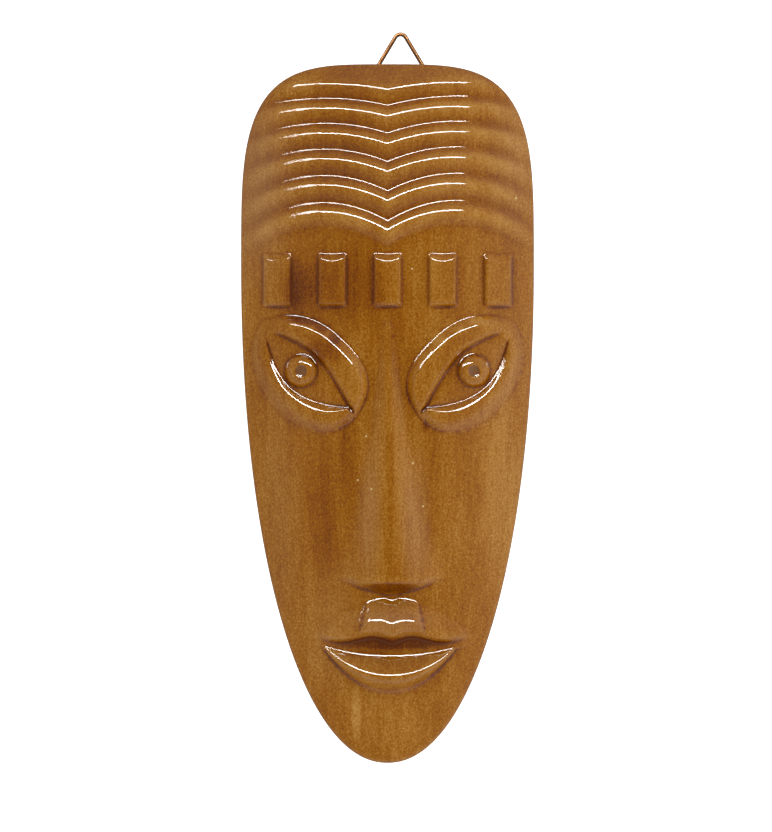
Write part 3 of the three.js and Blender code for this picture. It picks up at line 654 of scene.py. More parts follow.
def inside_ring(x, up, inset, margin):
    """Whether a place lies inside the outline, drawn in by both amounts."""
    reach, _ = reach_and_power(up)
    wide = x / (1 - (inset + margin) / HALF_WIDTH)
    tall = WIDEST_UP + (up - WIDEST_UP) / (1 - (inset + margin) / reach)
    return edge_share(wide, tall) < 1


def thin_out(x, up, least):
    """Leaves out each point that lies closer than least to one before it."""
    taken = {}
    kept = []
    for i, (px, pu) in enumerate(zip(x.tolist(), up.tolist())):
        cell = (int(px // least), int(pu // least))
        near = [
            taken.get((cell[0] + a, cell[1] + b), ())
            for a in (-1, 0, 1)
            for b in (-1, 0, 1)
        ]
        if all(math.hypot(px - qx, pu - qu) >= least for group in near for qx, qu in group):
            taken.setdefault(cell, []).append((px, pu))
            kept.append(i)
    return x[kept], up[kept]


def plain_points(step, line_x, line_up, inset):
    """A triangular lattice that is fine beside the lines and coarser on plain wood."""
    row_step = step * math.sqrt(3) / 2
    rows = np.arange(int(MASK_LENGTH / row_step) + 1)
    columns = np.arange(-int(HALF_WIDTH / step) - 2, int(HALF_WIDTH / step) + 3)
    row, column = np.meshgrid(rows, columns, indexing="ij")
    x = (column + 0.5 * (row % 2)) * step
    up = row * row_step
    half = (row // 2) % 2
    second = (row % 2 == 0) & ((column - half) % 2 == 0)
    quarter = (row // 4) % 2
    third = (row % 4 == 0) & ((column - 2 * quarter) % 4 == 0)
    keep = inside_ring(x, up, inset, step * RING_GAP)
    x, up, second, third = x[keep], up[keep], second[keep], third[keep]
    tree = kdtree.KDTree(len(line_x))
    for i, (px, pu) in enumerate(zip(line_x.tolist(), line_up.tolist())):
        tree.insert((px, pu, 0), i)
    tree.balance()
    gap = np.array([tree.find((px, pu, 0))[2] for px, pu in zip(x.tolist(), up.tolist())])
    keep = (gap > step * LINE_GAP) & ((gap < NEAR_LINE) | second & (gap < MIDDLE_LINE) | third)
    return x[keep], up[keep]


def triangulate(loop_x, loop_up, x, up):
    """Triangles between a closed loop and the points inside it, counter-clockwise from above."""
    all_x = np.concatenate([loop_x, x])
    all_up = np.concatenate([loop_up, up])
    points = [Vector(place) for place in zip(all_x.tolist(), all_up.tolist())]
    count = len(loop_x)
    edges = [(i, (i + 1) % count) for i in range(count)]
    places, _, faces, sources, _, _ = delaunay_2d_cdt(points, edges, [], 1, 1e-7)
    order = np.array([source[0] for source in sources])
    slot = np.empty(len(points), int)
    slot[order] = np.arange(len(order))
    places = np.array([tuple(place) for place in places])
    triangles = np.array([list(face) for face in faces])
    a, b, c = (places[triangles[:, i]] for i in range(3))
    turn = (b[:, 0] - a[:, 0]) * (c[:, 1] - a[:, 1]) - (b[:, 1] - a[:, 1]) * (c[:, 0] - a[:, 0])
    triangles[turn < 0] = triangles[turn < 0][:, ::-1]
    return places, triangles, slot[:count]


def hollow_height(x, up):
    """The gouged ceiling of the hollow, which follows the front at the wall's thickness."""
    reach, _ = reach_and_power(up)
    wide = x / (1 - RIM_WIDTH / HALF_WIDTH)
    tall = WIDEST_UP + (up - WIDEST_UP) / (1 - RIM_WIDTH / reach)
    from_edge = (1 - np.minimum(1, edge_share(wide, tall))) * (HALF_WIDTH - RIM_WIDTH)
    rise = HOLLOW_LIP + HOLLOW_SLOPE * from_edge
    ceiling = dome(x, up) - WALL
    height = np.maximum(HOLLOW_LIP, smooth_min(rise, ceiling, HOLLOW_ROUNDING))
    lane = x / GOUGE_WIDTH + GOUGE_SWAY * np.sin(up / GOUGE_SWAY_LENGTH)
    stroke = up / GOUGE_LENGTH + GOUGE_STAGGER * np.floor(lane)
    across = 2 * (lane - np.floor(lane)) - 1
    along = 2 * (stroke - np.floor(stroke)) - 1
    gouge = GOUGE_DEPTH * ((1 - across**2) * (1 - GOUGE_SCOOP * along**2) - 0.5)
    return height + gouge * smoothstep(from_edge, *GOUGE_START)


EIGHT_WAYS = np.arange(8) * math.pi / 4


def recess_depth(points, carving, radii):
    """How far each point of the front lies below the carving around it, where the wood is painted darker as
    shade and stain.
    """
    x, up, height = np.asarray(points).T
    around = np.zeros(len(x))
    spots = [(radius, turn) for radius in radii for turn in EIGHT_WAYS]
    for radius, turn in spots:
        around += carving(x + radius * math.cos(turn), up + radius * math.sin(turn)) / len(spots)
    front = height > dome(x, up) - FRONT_MARGIN
    return np.where(front, around - carving(x, up), 0)


def crease_shade_and_stain(points):
    """Painted shade and stain in the creases that are deep enough; the blocks' feet take less."""
    deep = recess_depth(points, nose_eyes_and_mouth, CREASE_RADII) - CREASE_LEAST
    at_blocks = recess_depth(points, blocks, CREASE_RADII)
    return np.maximum(0, deep) + BLOCK_CREASE * np.maximum(0, at_blocks)


def nose_flank_sheen(points):
    """1 on the two flanks of the nose, which get a painted sheen, and 0 on its middle and elsewhere."""
    x, up, _ = np.asarray(points).T
    middle = np.exp(-(((x - nose_middle(up)) / NOSE_MIDDLE_HALF) ** 2))
    return smoothstep(nose(x, up), *NOSE_SIDE_START) * (1 - middle)


def bare_share(points):
    """1 on the gouged hollow, which has only a thin coat, and 0 on the front and sides."""
    x, up, height = np.asarray(points).T
    ceiling = dome(x, up) - WALL + GOUGE_DEPTH
    return inside_ring(x, up, RIM_WIDTH, -BARE_MARGIN) & (height < ceiling + BARE_MARGIN)


def join_rings(first, second):
    """Quads between two rings of point numbers, facing outwards when the second lies lower."""
    after_first = np.roll(first, -1)
    after_second = np.roll(second, -1)
    return np.stack([first, second, after_second, after_first], axis=1).tolist()


def carve_mask():
    """The front, the rounded edge, the back rim and the gouged hollow, as one closed mesh."""
    loop_x, loop_up = outline_loop(RING_POINTS)
    ring_x, ring_up = drawn_in(loop_x, loop_up, EDGE_ROUND)
    line_x, line_up = line_points()
    keep = inside_ring(line_x, line_up, EDGE_ROUND, FINE_STEP * RING_GAP)
    line_x, line_up = thin_out(line_x[keep], line_up[keep], LINE_STEP * LINE_LEAST)
    plain_x, plain_up = plain_points(FINE_STEP, line_x, line_up, EDGE_ROUND)
    places, triangles, ring = triangulate(
        ring_x, ring_up, np.concatenate([line_x, plain_x]), np.concatenate([line_up, plain_up])
    )
    points = [np.column_stack([places, face_height(places[:, 0], places[:, 1])])]
    faces = triangles.tolist()
    total = len(places)
    ring_height = face_height(ring_x, ring_up)
    corner = face_height(loop_x, loop_up)
    profile = []
    for t in EDGE_STOPS:
        inset = EDGE_ROUND * (1 - t) ** 2
        height = ring_height * (1 - t) ** 2 + corner * 2 * t * (1 - t) + (corner - EDGE_ROUND) * t * t
        profile.append((inset, height))
    profile += [
        (0, corner * EDGE_MIDDLE),
        (0, np.full(RING_POINTS, BACK_ARRIS)),
        (BACK_ARRIS * ARRIS_MIDDLE, np.full(RING_POINTS, BACK_ARRIS * ARRIS_MIDDLE)),
        (BACK_ARRIS, np.zeros(RING_POINTS)),
        (RIM_WIDTH - BACK_ARRIS / 2, np.zeros(RING_POINTS)),
        (RIM_WIDTH, np.full(RING_POINTS, BACK_ARRIS / 2)),
    ]
    for inset, height in profile:
        x, up = drawn_in(loop_x, loop_up, inset)
        points.append(np.column_stack([x, up, height]))
        below = np.arange(total, total + RING_POINTS)
        faces += join_rings(ring, below)
        ring = below
        total += RING_POINTS
    hollow_x, hollow_up = drawn_in(loop_x, loop_up, RIM_WIDTH)
    none = np.array([0.0])
    inner_x, inner_up = plain_points(HOLLOW_STEP, none, none + MASK_LENGTH * 2, RIM_WIDTH)
    places, triangles, hollow_ring = triangulate(hollow_x, hollow_up, inner_x, inner_up)
    height = hollow_height(places[:, 0], places[:, 1])
    points.append(np.column_stack([places, height]))
    faces += (triangles[:, ::-1] + total).tolist()
    faces += join_rings(ring, hollow_ring + total)
    return np.concatenate(points), faces


def add_mesh(name, points, faces):
    """A mesh from points in millimetres, with up measured from the chin."""
    placed = (np.asarray(points) - [0, PART_LENGTH / 2, 0]) * MM
    mesh = bpy.data.meshes.new(name)
    mesh.from_pydata(placed.tolist(), [], faces)
    mesh.update()
    mesh.polygons.foreach_set("use_smooth", [True] * len(mesh.polygons))
    piece = bpy.data.objects.new(name, mesh)
    bpy.context.scene.collection.objects.link(piece)
    return piece


def bend_wire():
    """The wire's centre line, from one hole over the bend to the other."""
    sin = math.sin(LOOP_HALF_ANGLE)
    cos = math.cos(LOOP_HALF_ANGLE)
    bend_centre = PART_LENGTH - WIRE_DIAMETER / 2 - BEND_RADIUS
    tangent_x = BEND_RADIUS * cos
    tangent_up = bend_centre + BEND_RADIUS * sin
    leg = (tangent_up - MASK_LENGTH) / cos + HOLE_DEPTH
    left = [
        (LOOP_X - tangent_x - sin * leg * (1 - t), tangent_up - cos * leg * (1 - t))
        for t in np.linspace(0, 1, LEG_STOPS, endpoint=False)
    ]
    right = [(2 * LOOP_X - x, up) for x, up in reversed(left)]
    bend = [
        (LOOP_X + BEND_RADIUS * math.cos(angle), bend_centre + BEND_RADIUS * math.sin(angle))
        for angle in np.linspace(math.pi - LOOP_HALF_ANGLE, LOOP_HALF_ANGLE, BEND_STOPS)
    ]
    return left + bend + right


def wire_mesh():
    """A round tube along the bent wire, closed at both ends."""
    path = bend_wire()
    sides = WIRE_SIDES
    points = []
    for i, (x, up) in enumerate(path):
        before = path[max(i - 1, 0)]
        after = path[min(i + 1, len(path) - 1)]
        run = math.hypot(after[0] - before[0], after[1] - before[1])
        across = ((after[1] - before[1]) / run, -(after[0] - before[0]) / run)
        for turn in range(sides):
            angle = 2 * math.pi * turn / sides
            out = WIRE_DIAMETER / 2 * math.cos(angle)
            points.append((
                x + across[0] * out,
                up + across[1] * out,
                LOOP_HEIGHT_ABOVE_BACK + WIRE_DIAMETER / 2 * math.sin(angle),
            ))
    faces = []
    for i in range(len(path) - 1):
        for turn in range(sides):
            a = i * sides + turn
            b = i * sides + (turn + 1) % sides
            faces.append((a, b, b + sides, a + sides))
    faces.append(tuple(reversed(range(sides))))
    last = (len(path) - 1) * sides
    faces.append(tuple(range(last, last + sides)))
    return points, faces


def add_node(tree, kind, **settings):
    node = tree.nodes.new(kind)
    for setting, value in settings.items():
        setattr(node, setting, value)
    return node


def feed(tree, socket, value):
    """Gives a socket either a plain value or another socket's output."""
    if isinstance(value, bpy.types.NodeSocket):
        tree.links.new(value, socket)
    else:
        socket.default_value = value


def maths(tree, operation, *values):
    node = add_node(tree, "ShaderNodeMath", operation=operation)
    for socket, value in zip(node.inputs, values):
        feed(tree, socket, value)
    return node.outputs["Value"]


def vector_maths(tree, operation, *values):
    node = add_node(tree, "ShaderNodeVectorMath", operation=operation)
    for socket, value in zip(node.inputs, values):
        feed(tree, socket, value)
    return node.outputs["Value" if operation == "LENGTH" else "Vector"]


def fade(tree, value, low, high, start=0, end=1):
    """Runs smoothly from start to end while the value goes from low to high."""
    node = add_node(tree, "ShaderNodeMapRange", interpolation_type="SMOOTHSTEP")
    given = {"Value": value, "From Min": low, "From Max": high, "To Min": start, "To Max": end}
    for name, setting in given.items():
        feed(tree, node.inputs[name], setting)
    return node.outputs["Result"]


def blend(tree, share, first, second):
    node = add_node(tree, "ShaderNodeMix", data_type="RGBA")
    for name, given in (("Factor_Float", share), ("A_Color", first), ("B_Color", second)):
        feed(tree, next(socket for socket in node.inputs if socket.identifier == name), given)
    return next(socket for socket in node.outputs if socket.identifier == "Result_Color")


def colour_scale(tree, value, stops):
    """Runs through the paints at their stops while the value goes from 0 to 1."""
    node = add_node(tree, "ShaderNodeValToRGB")
    feed(tree, node.inputs["Fac"], value)
    elements = node.color_ramp.elements
    while len(elements) < len(stops):
        elements.new(0.5)
    for element, (position, colour) in zip(elements, stops):
        element.position = position
        element.color = paint(*colour)
    return node.outputs["Color"]


def paint(red, green, blue):
    """A colour given as it is seen, in 256 steps, turned into the even scale that the shaders use."""
    return tuple(((level / 255 + 0.055) / 1.055) ** 2.4 for level in (red, green, blue)) + (1,)


def start_group(name, inputs, outputs):
    tree = bpy.data.node_groups.new(name, "ShaderNodeTree")
    for socket, (kind, value) in inputs.items():
        given = tree.interface.new_socket(socket, in_out="INPUT", socket_type="NodeSocket" + kind)
        given.default_value = value
    for socket, kind in outputs.items():
        tree.interface.new_socket(socket, in_out="OUTPUT", socket_type="NodeSocket" + kind)
    given = tree.nodes.new("NodeGroupInput")
    result = tree.nodes.new("NodeGroupOutput")
    return tree, given.outputs, result.inputs


def use_group(tree, group, output, **values):
    """Places a node group, with its inputs given by name, and takes one of its outputs."""
    node = add_node(tree, "ShaderNodeGroup", node_tree=group)
    for name, value in values.items():
        feed(tree, node.inputs[name.replace("_", " ").title()], value)
    return node.outputs[output]


def grain_nodes(tree, position, across, along, detail, seed):
    """Noise drawn out along the grain, centred on nought."""
    cell = add_node(tree, "ShaderNodeCombineXYZ")
    for socket, size in zip(cell.inputs, (across, along, across)):
        feed(tree, socket, size)
    noise = add_node(tree, "ShaderNodeTexNoise", noise_dimensions="4D")
    feed(tree, noise.inputs["Vector"], vector_maths(tree, "DIVIDE", position, cell.outputs["Vector"]))
    feed(tree, noise.inputs["W"], seed)
    feed(tree, noise.inputs["Scale"], 1)
    feed(tree, noise.inputs["Detail"], detail)
    return maths(tree, "SUBTRACT", noise.outputs["Fac"], 0.5)


def patch_nodes(tree, position, centre, half_size, softness):
    """A soft-edged patch around one place: 1 in the middle and 0 beyond its half size."""
    away = vector_maths(tree, "SUBTRACT", position, centre)
    reach = vector_maths(tree, "LENGTH", vector_maths(tree, "DIVIDE", away, half_size))
    return fade(tree, reach, maths(tree, "SUBTRACT", 1, softness), 1, 1, 0)


def grain_layer():
    """The group of one layer of grain, for the wood's figure and pores and the wire's drawn lines."""
    tree, given, result = start_group(
        "Grain Layer",
        {
            "Position": ("Vector", (0, 0, 0)),
            "Across": ("Float", 2),
            "Along": ("Float", 40),
            "Detail": ("Float", 2),
            "Seed": ("Float", 0),
        },
        {"Value": "Float"},
    )
    grain = grain_nodes(tree, *(given[name] for name in ("Position", "Across", "Along", "Detail", "Seed")))
    feed(tree, result["Value"], grain)
    return tree


def stain_and_shading_patch():
    """The group of one patch, for stains, painted shade and light, painted sheen, cracks and painted glints.
    """
    tree, given, result = start_group(
        "Stain And Shading Patch",
        {
            "Position": ("Vector", (0, 0, 0)),
            "Centre": ("Vector", (0, 0, 0)),
            "Half Size": ("Vector", (1, 1, 1)),
            "Softness": ("Float", 0.5),
        },
        {"Mask": "Float"},
    )
    patch = patch_nodes(tree, *(given[name] for name in ("Position", "Centre", "Half Size", "Softness")))
    feed(tree, result["Mask"], patch)
    return tree


def millimetres(tree):
    """The place on the mask in millimetres, with y as the distance above the chin."""
    place = add_node(tree, "ShaderNodeTexCoord").outputs["Object"]
    scaled = vector_maths(tree, "MULTIPLY", place, (1 / MM, 1 / MM, 1 / MM))
    return vector_maths(tree, "ADD", scaled, (0, PART_LENGTH / 2, 0))


def new_material(name):
    material = bpy.data.materials.new(name)
    material.use_nodes = True
    tree = material.node_tree
    tree.nodes.clear()
    output = tree.nodes.new("ShaderNodeOutputMaterial")
    shader = tree.nodes.new("ShaderNodeBsdfPrincipled")
    tree.links.new(shader.outputs["BSDF"], output.inputs["Surface"])
    return material, tree, shader


# Paints as they are seen, in steps of 255. A scale gives the place of each between 0 and 1.
STAINED_WOOD = ((0, (96, 44, 4)), (0.3, (134, 73, 8)), (0.5, (154, 95, 12)), (1, (196, 146, 72)))
RAW_WOOD = ((0, (92, 52, 20)), (0.5, (158, 112, 62)), (1, (196, 156, 104)))
DRAWN_WIRE = ((0, (66, 39, 18)), (0.5, (116, 79, 48)), (1, (170, 133, 98)))
SHEEN_PAINT = (168, 132, 104)
DIMPLE_GREY_BROWN = (112, 78, 52)
GLINT_PAINT = (226, 196, 140)

# The layers of the wood's figure: the size across and along the grain, the seed and the weight
FIGURE = ((24, 70, 0.0, 0.4), (5, 80, 3.7, 0.3), (1.5, 14, 7.1, 0.3), (0.7, 0.9, 11.9, 0.95))
PORES = {"across": 0.35, "along": 5, "detail": 1, "seed": 14.2}
PORE_DEPTH = 0.05
PORES_UNDER_LACQUER = 0.3
PORES_IN_HOLLOW = 3

# How much darker (-) or lighter (+) the wood is painted for each value that its mesh carries:
# painted shade and stain in recesses and creases, painted sheen on the nose's flanks, painted shade in the
# hair's grooves
RECESS_SHADE_AND_STAIN_TONE = -0.13
PROUD_LIMIT = -0.35
NOSE_FLANK_SHEEN_TONE = 0.07
CREASE_TONE = -1.75
HAIR_GROOVE_SHADE_TONE = -0.14

# Patches run right through the wood: the height of their middle, and half their depth.
# Each is given by x, the distance above the chin, half its width and half its height.
PATCH_MIDDLE = 25
PATCH_HALF_DEPTH = 60
# Patches of stain and of painted shade and painted light, with the softness and how much lighter the wood is
STAINS_AND_SHADING = (
    # Forehead and hair
    (-38, 203, 9, 17, 0.8, -0.34),
    (-18, 205, 22, 30, 0.8, -0.24),
    (-20, 262, 24, 40, 0.9, -0.16),
    # Cheeks, chin and top edge; the right cheek's edge gets painted sheen and the top edge painted shade
    (-28, 112, 13, 46, 0.9, -0.12),
    (-13.3, 20.6, 3, 16, 0.6, 0.2),
    (16.1, 144.6, 2.4, 4, 0.8, -0.22),
    (-17, 134, 6, 34, 0.8, -0.14),
    (50, 110, 14, 64, 0.8, 0.16),
    (2, 20, 30, 26, 0.8, 0.05),
    (0, 296, 62, 12, 0.9, -0.12),
    # Nose, darker down its middle; painted shade under it, and the upper lip's painted shadow in the mouth
    (1.3, 118, 2.6, 40, 0.8, -0.09),
    (2, 51.4, 33, 3.6, 0.6, -0.43),
    (1.3, 75.4, 16, 3, 0.6, -0.45),
    # Painted shade on the upper lid on the left
    (-39, 190.4, 6, 2.8, 0.8, -0.3),
    (-33, 189.4, 6, 3, 0.8, -0.3),
    (-27.5, 186.6, 5, 3.4, 0.8, -0.3),
    (-22.5, 182, 4.4, 4.4, 0.8, -0.3),
    (-27, 177, 13, 9, 0.8, -0.26),
    # Painted light on the upper lid on the right
    (38, 190, 7, 3.2, 0.7, 0.2),
    (29, 187.5, 7, 4, 0.7, 0.2),
    (22, 182, 5, 5, 0.7, 0.2),
    # Painted shade on the lower lip's rim, under the mouth
    (-10, 47.2, 14, 2.4, 0.8, -0.2),
) + tuple(
    # Painted shade along the lower edge of each block
    ((index - BLOCKS // 2) * BLOCK_PITCH, BLOCK_LOW - 0.2, 5.8, 1.2, 0.7, -0.26)
    for index in range(BLOCKS)
)
# Painted sheen: where a pale reflection is painted over the lacquer, with the softness and how strongly
PAINTED_SHEEN = (
    (-58, 252, 22, 62, 0.9, 0.28),
    (2, 297, 66, 14, 0.9, 0.08),
    (56, 258, 18, 50, 0.9, 0.12),
    (-46, 100, 12, 90, 0.9, 0.06),
    (2, 61, 24, 8, 0.8, 0.2),
    (12, 105, 9, 40, 0.8, 0.14),
    (-8, 105, 7, 40, 0.8, 0.12),
    (-24, 60, 14, 40, 0.9, 0.07),
    (-3, 262, 60, 40, 0.9, 0.04),
)
DIMPLE_SOFTNESS = 0.15
DIMPLE_SHARE = 0.75
# Small dark cracks in the wood
CRACKS = (
    (-18.6, 140.6, 0.2, 2.4),
    (-16.4, 139.4, 0.16, 1.8),
    (-10.2, 158, 0.16, 1.2),
    (16.3, 145.6, 0.3, 2.6),
)
CRACK_SOFTNESS = 0.5
CRACK_TONE = -0.6
# Painted glints of small nibs in the lacquer and of a scratch at the right edge: x and the distance above
# the chin
GLINTS = (
    (-9.2, 140.3),
    (-12.7, 121.5),
    (10.9, 128.8),
    (15.2, 110.3),
    (10.5, 212),
    (-6.9, 117.7),
    (55.2, 242.4),
)
GLINT_RADIUS = 0.55
GLINT_SOFTNESS = 0.7

# Lacquer: its slight peel everywhere, and the closer ripple where it dried rough.
# Each is across, along, detail and seed.
PEEL = (1.7, 2.1, 1, 5.3)
RIPPLE = (0.5, 0.7, 1, 9.6)
RIPPLE_GAIN = 11
PEEL_DEPTH = 0.012
COAT_IN_HOLLOW = 0.25
BARE_SHARE = 0.85
ROUGH_LACQUER = (
    (2.2, 232.6, 2, 3),
    (48.3, 169.6, 4.4, 6.4),
    (-40, 256, 6, 38),
    (-9.4, 65, 1.4, 5.2),
)
ROUGH_SOFTNESS = 0.6

# Wire: the dulled and rubbed patches and the drawn lines
WIRE_PATCHES = {"across": 2.2, "along": 3.1, "detail": 2, "seed": 21.3}
WIRE_LINES = {"across": 0.16, "along": 5, "detail": 1, "seed": 2.9}
WIRE_PATCH_TONE = 1.1
WIRE_LINE_TONE = 0.35
WIRE_BUMP = 0.03


def carved_value(tree, name):
    """A value that the mask's mesh carries at each of its points, such as how deep its creases are."""
    return add_node(tree, "ShaderNodeAttribute", attribute_name=name).outputs["Fac"]


def bump(tree, height, distance):
    """Raises the surface by a distance in millimetres for each unit of height."""
    node = add_node(tree, "ShaderNodeBump")
    node.inputs["Strength"].default_value = 1
    node.inputs["Distance"].default_value = distance * MM
    feed(tree, node.inputs["Height"], height)
    return node.outputs["Normal"]


def lacquered_wood(grain, patch):
    """Stained wood under gloss lacquer, with painted shade, painted sheen and painted glints. The gouged
    hollow is nearly raw, with a thin coat.
    """
    material, tree, shader = new_material("lacquered_wood")
    place = millimetres(tree)

    def layer(**sizes):
        return use_group(tree, grain, "Value", position=place, **sizes)

    def near(x, up, half_x, half_up, softness):
        centre = (x, up, PATCH_MIDDLE)
        half_size = (half_x, half_up, PATCH_HALF_DEPTH)
        return use_group(
            tree, patch, "Mask", position=place, centre=centre, half_size=half_size, softness=softness
        )

    tone = 0.5
    for across, along, seed, weight in FIGURE:
        wood = layer(across=across, along=along, detail=2, seed=seed)
        tone = maths(tree, "MULTIPLY_ADD", wood, weight, tone)
    for x, up, half_x, half_up, softness, change in STAINS_AND_SHADING:
        tone = maths(tree, "MULTIPLY_ADD", near(x, up, half_x, half_up, softness), change, tone)
    for x, up, half_x, half_up in CRACKS:
        crack = near(x, up, half_x, half_up, CRACK_SOFTNESS)
        tone = maths(tree, "MULTIPLY_ADD", crack, CRACK_TONE, tone)
    # Painted shade and stain in recesses and creases, painted sheen on the nose's flanks, painted shade in
    # the hair's grooves
    for value, change in (
        (maths(tree, "MAXIMUM", carved_value(tree, "recess"), PROUD_LIMIT), RECESS_SHADE_AND_STAIN_TONE),
        (carved_value(tree, "nose_flank_sheen"), NOSE_FLANK_SHEEN_TONE),
        (carved_value(tree, "crease"), CREASE_TONE),
        (carved_value(tree, "combing"), HAIR_GROOVE_SHADE_TONE),
    ):
        tone = maths(tree, "MULTIPLY_ADD", value, change, tone)

    colour = colour_scale(tree, tone, STAINED_WOOD)
    # Painted sheen: the colour is blended towards a pale reflected tone
    for x, up, half_x, half_up, softness, amount in PAINTED_SHEEN:
        sheen = maths(tree, "MULTIPLY", near(x, up, half_x, half_up, softness), amount)
        colour = blend(tree, sheen, colour, paint(*SHEEN_PAINT))
    # Each pupil's dimple is coloured a darker grey-brown
    for side in (-1, 1):
        hole = near(side * BUTTON_X, BUTTON_UP, DIMPLE_RADIUS, DIMPLE_RADIUS, DIMPLE_SOFTNESS)
        greyed = maths(tree, "MULTIPLY", hole, DIMPLE_SHARE)
        colour = blend(tree, greyed, colour, paint(*DIMPLE_GREY_BROWN))
    # Painted glints
    for x, up in GLINTS:
        glint = near(x, up, GLINT_RADIUS, GLINT_RADIUS, GLINT_SOFTNESS)
        colour = blend(tree, glint, colour, paint(*GLINT_PAINT))
    bare = carved_value(tree, "bare")
    raw = colour_scale(tree, tone, RAW_WOOD)
    colour = blend(tree, maths(tree, "MULTIPLY", bare, BARE_SHARE), colour, raw)
    feed(tree, shader.inputs["Base Color"], colour)
    shader.inputs["Roughness"].default_value = 0.5
    shader.inputs["Specular IOR Level"].default_value = 0
    pore_strength = fade(tree, bare, 0, 1, PORES_UNDER_LACQUER, PORES_IN_HOLLOW)
    pores = maths(tree, "MULTIPLY", layer(**PORES), pore_strength)
    feed(tree, shader.inputs["Normal"], bump(tree, pores, PORE_DEPTH))

    # The lacquer's peel and ripple are plain nodes, not groups, because they bend the coat's normal.
    rough = 0
    for x, up, half_x, half_up in ROUGH_LACQUER:
        centre = (x, up, PATCH_MIDDLE)
        half_size = (half_x, half_up, PATCH_HALF_DEPTH)
        rough = maths(tree, "MAXIMUM", rough, patch_nodes(tree, place, centre, half_size, ROUGH_SOFTNESS))
    ripple = maths(tree, "MULTIPLY", rough, grain_nodes(tree, place, *RIPPLE))
    waves = maths(tree, "MULTIPLY_ADD", ripple, RIPPLE_GAIN, grain_nodes(tree, place, *PEEL))
    feed(tree, shader.inputs["Coat Weight"], fade(tree, bare, 0, 1, 1, COAT_IN_HOLLOW))
    shader.inputs["Coat Roughness"].default_value = 0.045
    feed(tree, shader.inputs["Coat Normal"], bump(tree, waves, PEEL_DEPTH))
    return material


def wire_brass(grain):
    """Drawn copper-coloured wire: fine lines along it, dulled patches and a few bright rubbed ones."""
    material, tree, shader = new_material("wire_brass")
    place = millimetres(tree)
    patches = use_group(tree, grain, "Value", position=place, **WIRE_PATCHES)
    lines = use_group(tree, grain, "Value", position=place, **WIRE_LINES)
    tone = maths(tree, "MULTIPLY_ADD", patches, WIRE_PATCH_TONE, 0.5)
    tone = maths(tree, "MULTIPLY_ADD", lines, WIRE_LINE_TONE, tone)
    feed(tree, shader.inputs["Base Color"], colour_scale(tree, tone, DRAWN_WIRE))
    shader.inputs["Metallic"].default_value = 1
    feed(tree, shader.inputs["Roughness"], fade(tree, tone, 0.2, 0.9, 0.5, 0.26))
    feed(tree, shader.inputs["Normal"], bump(tree, maths(tree, "ADD", lines, patches), WIRE_BUMP))
    return material


def pale_floor():
    """White paper, lit so that the picture's background stays white under the camera."""
    material, tree, shader = new_material("pale_floor")
    shader.inputs["Base Color"].default_value = (0.8, 0.8, 0.8, 1)
    shader.inputs["Roughness"].default_value = 0.9
    shader.inputs["Specular IOR Level"].default_value = 0.1
    shader.inputs["Emission Color"].default_value = (1, 1, 1, 1)
    seen = add_node(tree, "ShaderNodeLightPath").outputs["Is Camera Ray"]
    feed(tree, shader.inputs["Emission Strength"], maths(tree, "MULTIPLY", seen, 1.1))
    return material


def softbox(name, direction, distance, width, height, radiance, lacquer=True, wood=True):
    """A rectangular light that faces the mask. It can light the wood only, or show in the lacquer only."""
    light = bpy.data.lights.new(name, "AREA")
    light.shape = "RECTANGLE"
    light.size = width
    light.size_y = height
    light.energy = radiance * width * height * math.pi
    lamp = bpy.data.objects.new(name, light)
    way = Vector(direction).normalized()
    lamp.location = way * distance
    lamp.rotation_euler = way.to_track_quat("Z", "Y").to_euler()
    lamp.visible_glossy = lacquer
    lamp.visible_diffuse = wood
    bpy.context.scene.collection.objects.link(lamp)


def studio_sky(even, zenith, horizon, to_right, to_top):
    """Even light on the wood. The lacquer sees a room that is dim overhead and lighter towards its walls."""
    world = bpy.data.worlds.new("studio_sky")
    world.use_nodes = True
    tree = world.node_tree
    way = add_node(tree, "ShaderNodeSeparateXYZ")
    feed(tree, way.inputs["Vector"], add_node(tree, "ShaderNodeTexCoord").outputs["Generated"])
    sideways = maths(tree, "SUBTRACT", 1, maths(tree, "POWER", way.outputs["Z"], 2))
    wall = maths(tree, "MULTIPLY_ADD", way.outputs["X"], to_right, horizon)
    wall = maths(tree, "MULTIPLY_ADD", way.outputs["Y"], to_top, wall)
    room = maths(tree, "MULTIPLY_ADD", sideways, wall, zenith)
    side_light = maths(tree, "MULTIPLY_ADD", way.outputs["X"], to_right, even)
    diffuse = maths(tree, "MULTIPLY_ADD", sideways, side_light, even / 2)
    in_lacquer = add_node(tree, "ShaderNodeLightPath").outputs["Is Glossy Ray"]
    change = maths(tree, "MULTIPLY", in_lacquer, maths(tree, "SUBTRACT", room, diffuse))
    feed(tree, tree.nodes["Background"].inputs["Strength"], maths(tree, "ADD", diffuse, change))
    tree.nodes["Background"].inputs["Color"].default_value = (1, 1, 1, 1)
    bpy.context.scene.world = world


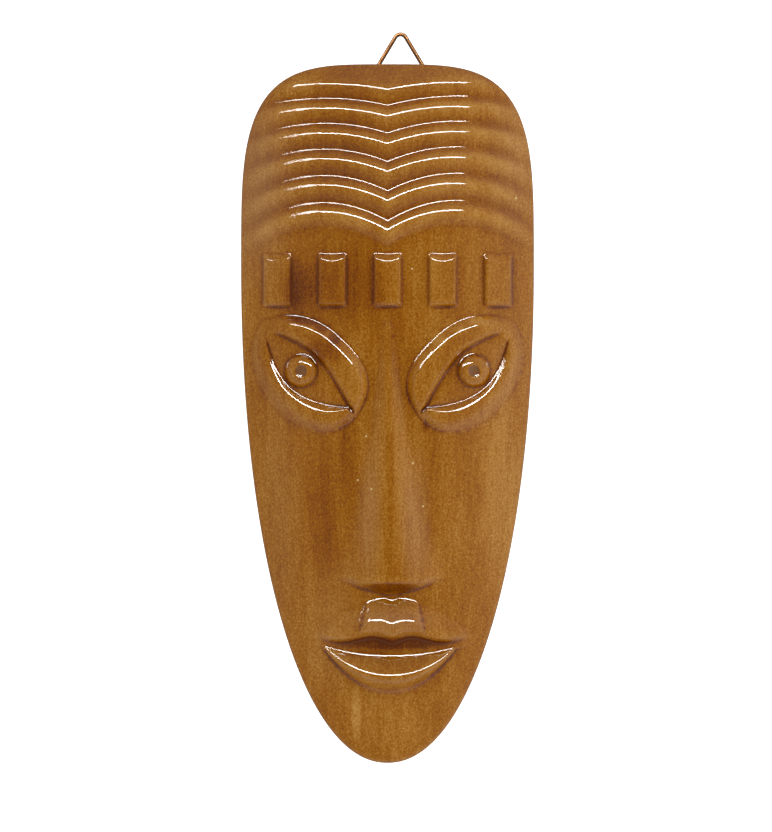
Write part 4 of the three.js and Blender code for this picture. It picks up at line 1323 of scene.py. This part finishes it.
# Camera: straight over the mask, as the photograph looks at its front. The picture is 832 pixels high,
# and a pixel shows 0.4292 mm at the height of the outline. AIM is the place in the picture's middle.
PIXEL = 0.4292 * MM
PICTURE_HEIGHT = 832
AIM = (-0.00064, -0.0079)
OUTLINE_HEIGHT = 0.009
LENS = 800
SENSOR = 36
camera_data = bpy.data.cameras.new("camera")
camera_data.lens = LENS
camera_data.sensor_width = SENSOR
camera_data.clip_end = 20
camera = bpy.data.objects.new("camera", camera_data)
camera.location = (*AIM, PIXEL * PICTURE_HEIGHT * LENS / SENSOR + OUTLINE_HEIGHT)
bpy.context.scene.collection.objects.link(camera)
bpy.context.scene.camera = camera

grain = grain_layer()
patch = stain_and_shading_patch()

mask_points, mask_faces = carve_mask()
mask = add_mesh("carved_mask", mask_points, mask_faces)
# Values the mesh carries for the painted shade, stain and sheen, and for the bare hollow
for attribute, values in (
    ("recess", recess_depth(mask_points, features, RECESS_RADII)),
    ("crease", crease_shade_and_stain(mask_points)),
    ("nose_flank_sheen", nose_flank_sheen(mask_points)),
    ("combing", recess_depth(mask_points, hair, COMBING_RADII)),
    ("bare", bare_share(mask_points).astype(float)),
):
    mask.data.attributes.new(attribute, "FLOAT", "POINT").data.foreach_set("value", values)
mask.data.materials.append(lacquered_wood(grain, patch))
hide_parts("mask")
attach(mask, "root")

wire_points, wire_faces = wire_mesh()
wire = add_mesh("bent_wire_loop", wire_points, wire_faces)
wire.data.materials.append(wire_brass(grain))
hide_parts("hanging_wire")
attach(wire, "root")

FLOOR_HALF = 4
FLOOR_DROP = 0.0005
floor_corners = [(x * FLOOR_HALF, y * FLOOR_HALF, 0) for x, y in ((-1, -1), (1, -1), (1, 1), (-1, 1))]
floor_mesh = bpy.data.meshes.new("floor")
floor_mesh.from_pydata(floor_corners, [], [(0, 1, 2, 3)])
floor = bpy.data.objects.new("floor", floor_mesh)
floor.location.z = -FLOOR_DROP
floor.data.materials.append(pale_floor())
bpy.context.scene.collection.objects.link(floor)
floor.visible_glossy = False

studio_sky(even=0.8, zenith=0.08, horizon=0.42, to_right=0.19, to_top=-0.2)
softbox(
    "head_strip", (0.055, 0.67, 0.742), distance=1.1, width=1.32, height=0.2, radiance=42, wood=False
)
softbox(
    "left_softbox", (-0.589, 0.612, 0.529), distance=1.3, width=0.4, height=0.4, radiance=22, wood=False
)
softbox(
    "front_fill", (0.3, 0.15, 0.94), distance=1.4, width=1, height=1, radiance=1.2, lacquer=False
)
bpy.context.scene.view_settings.view_transform = "Standard"
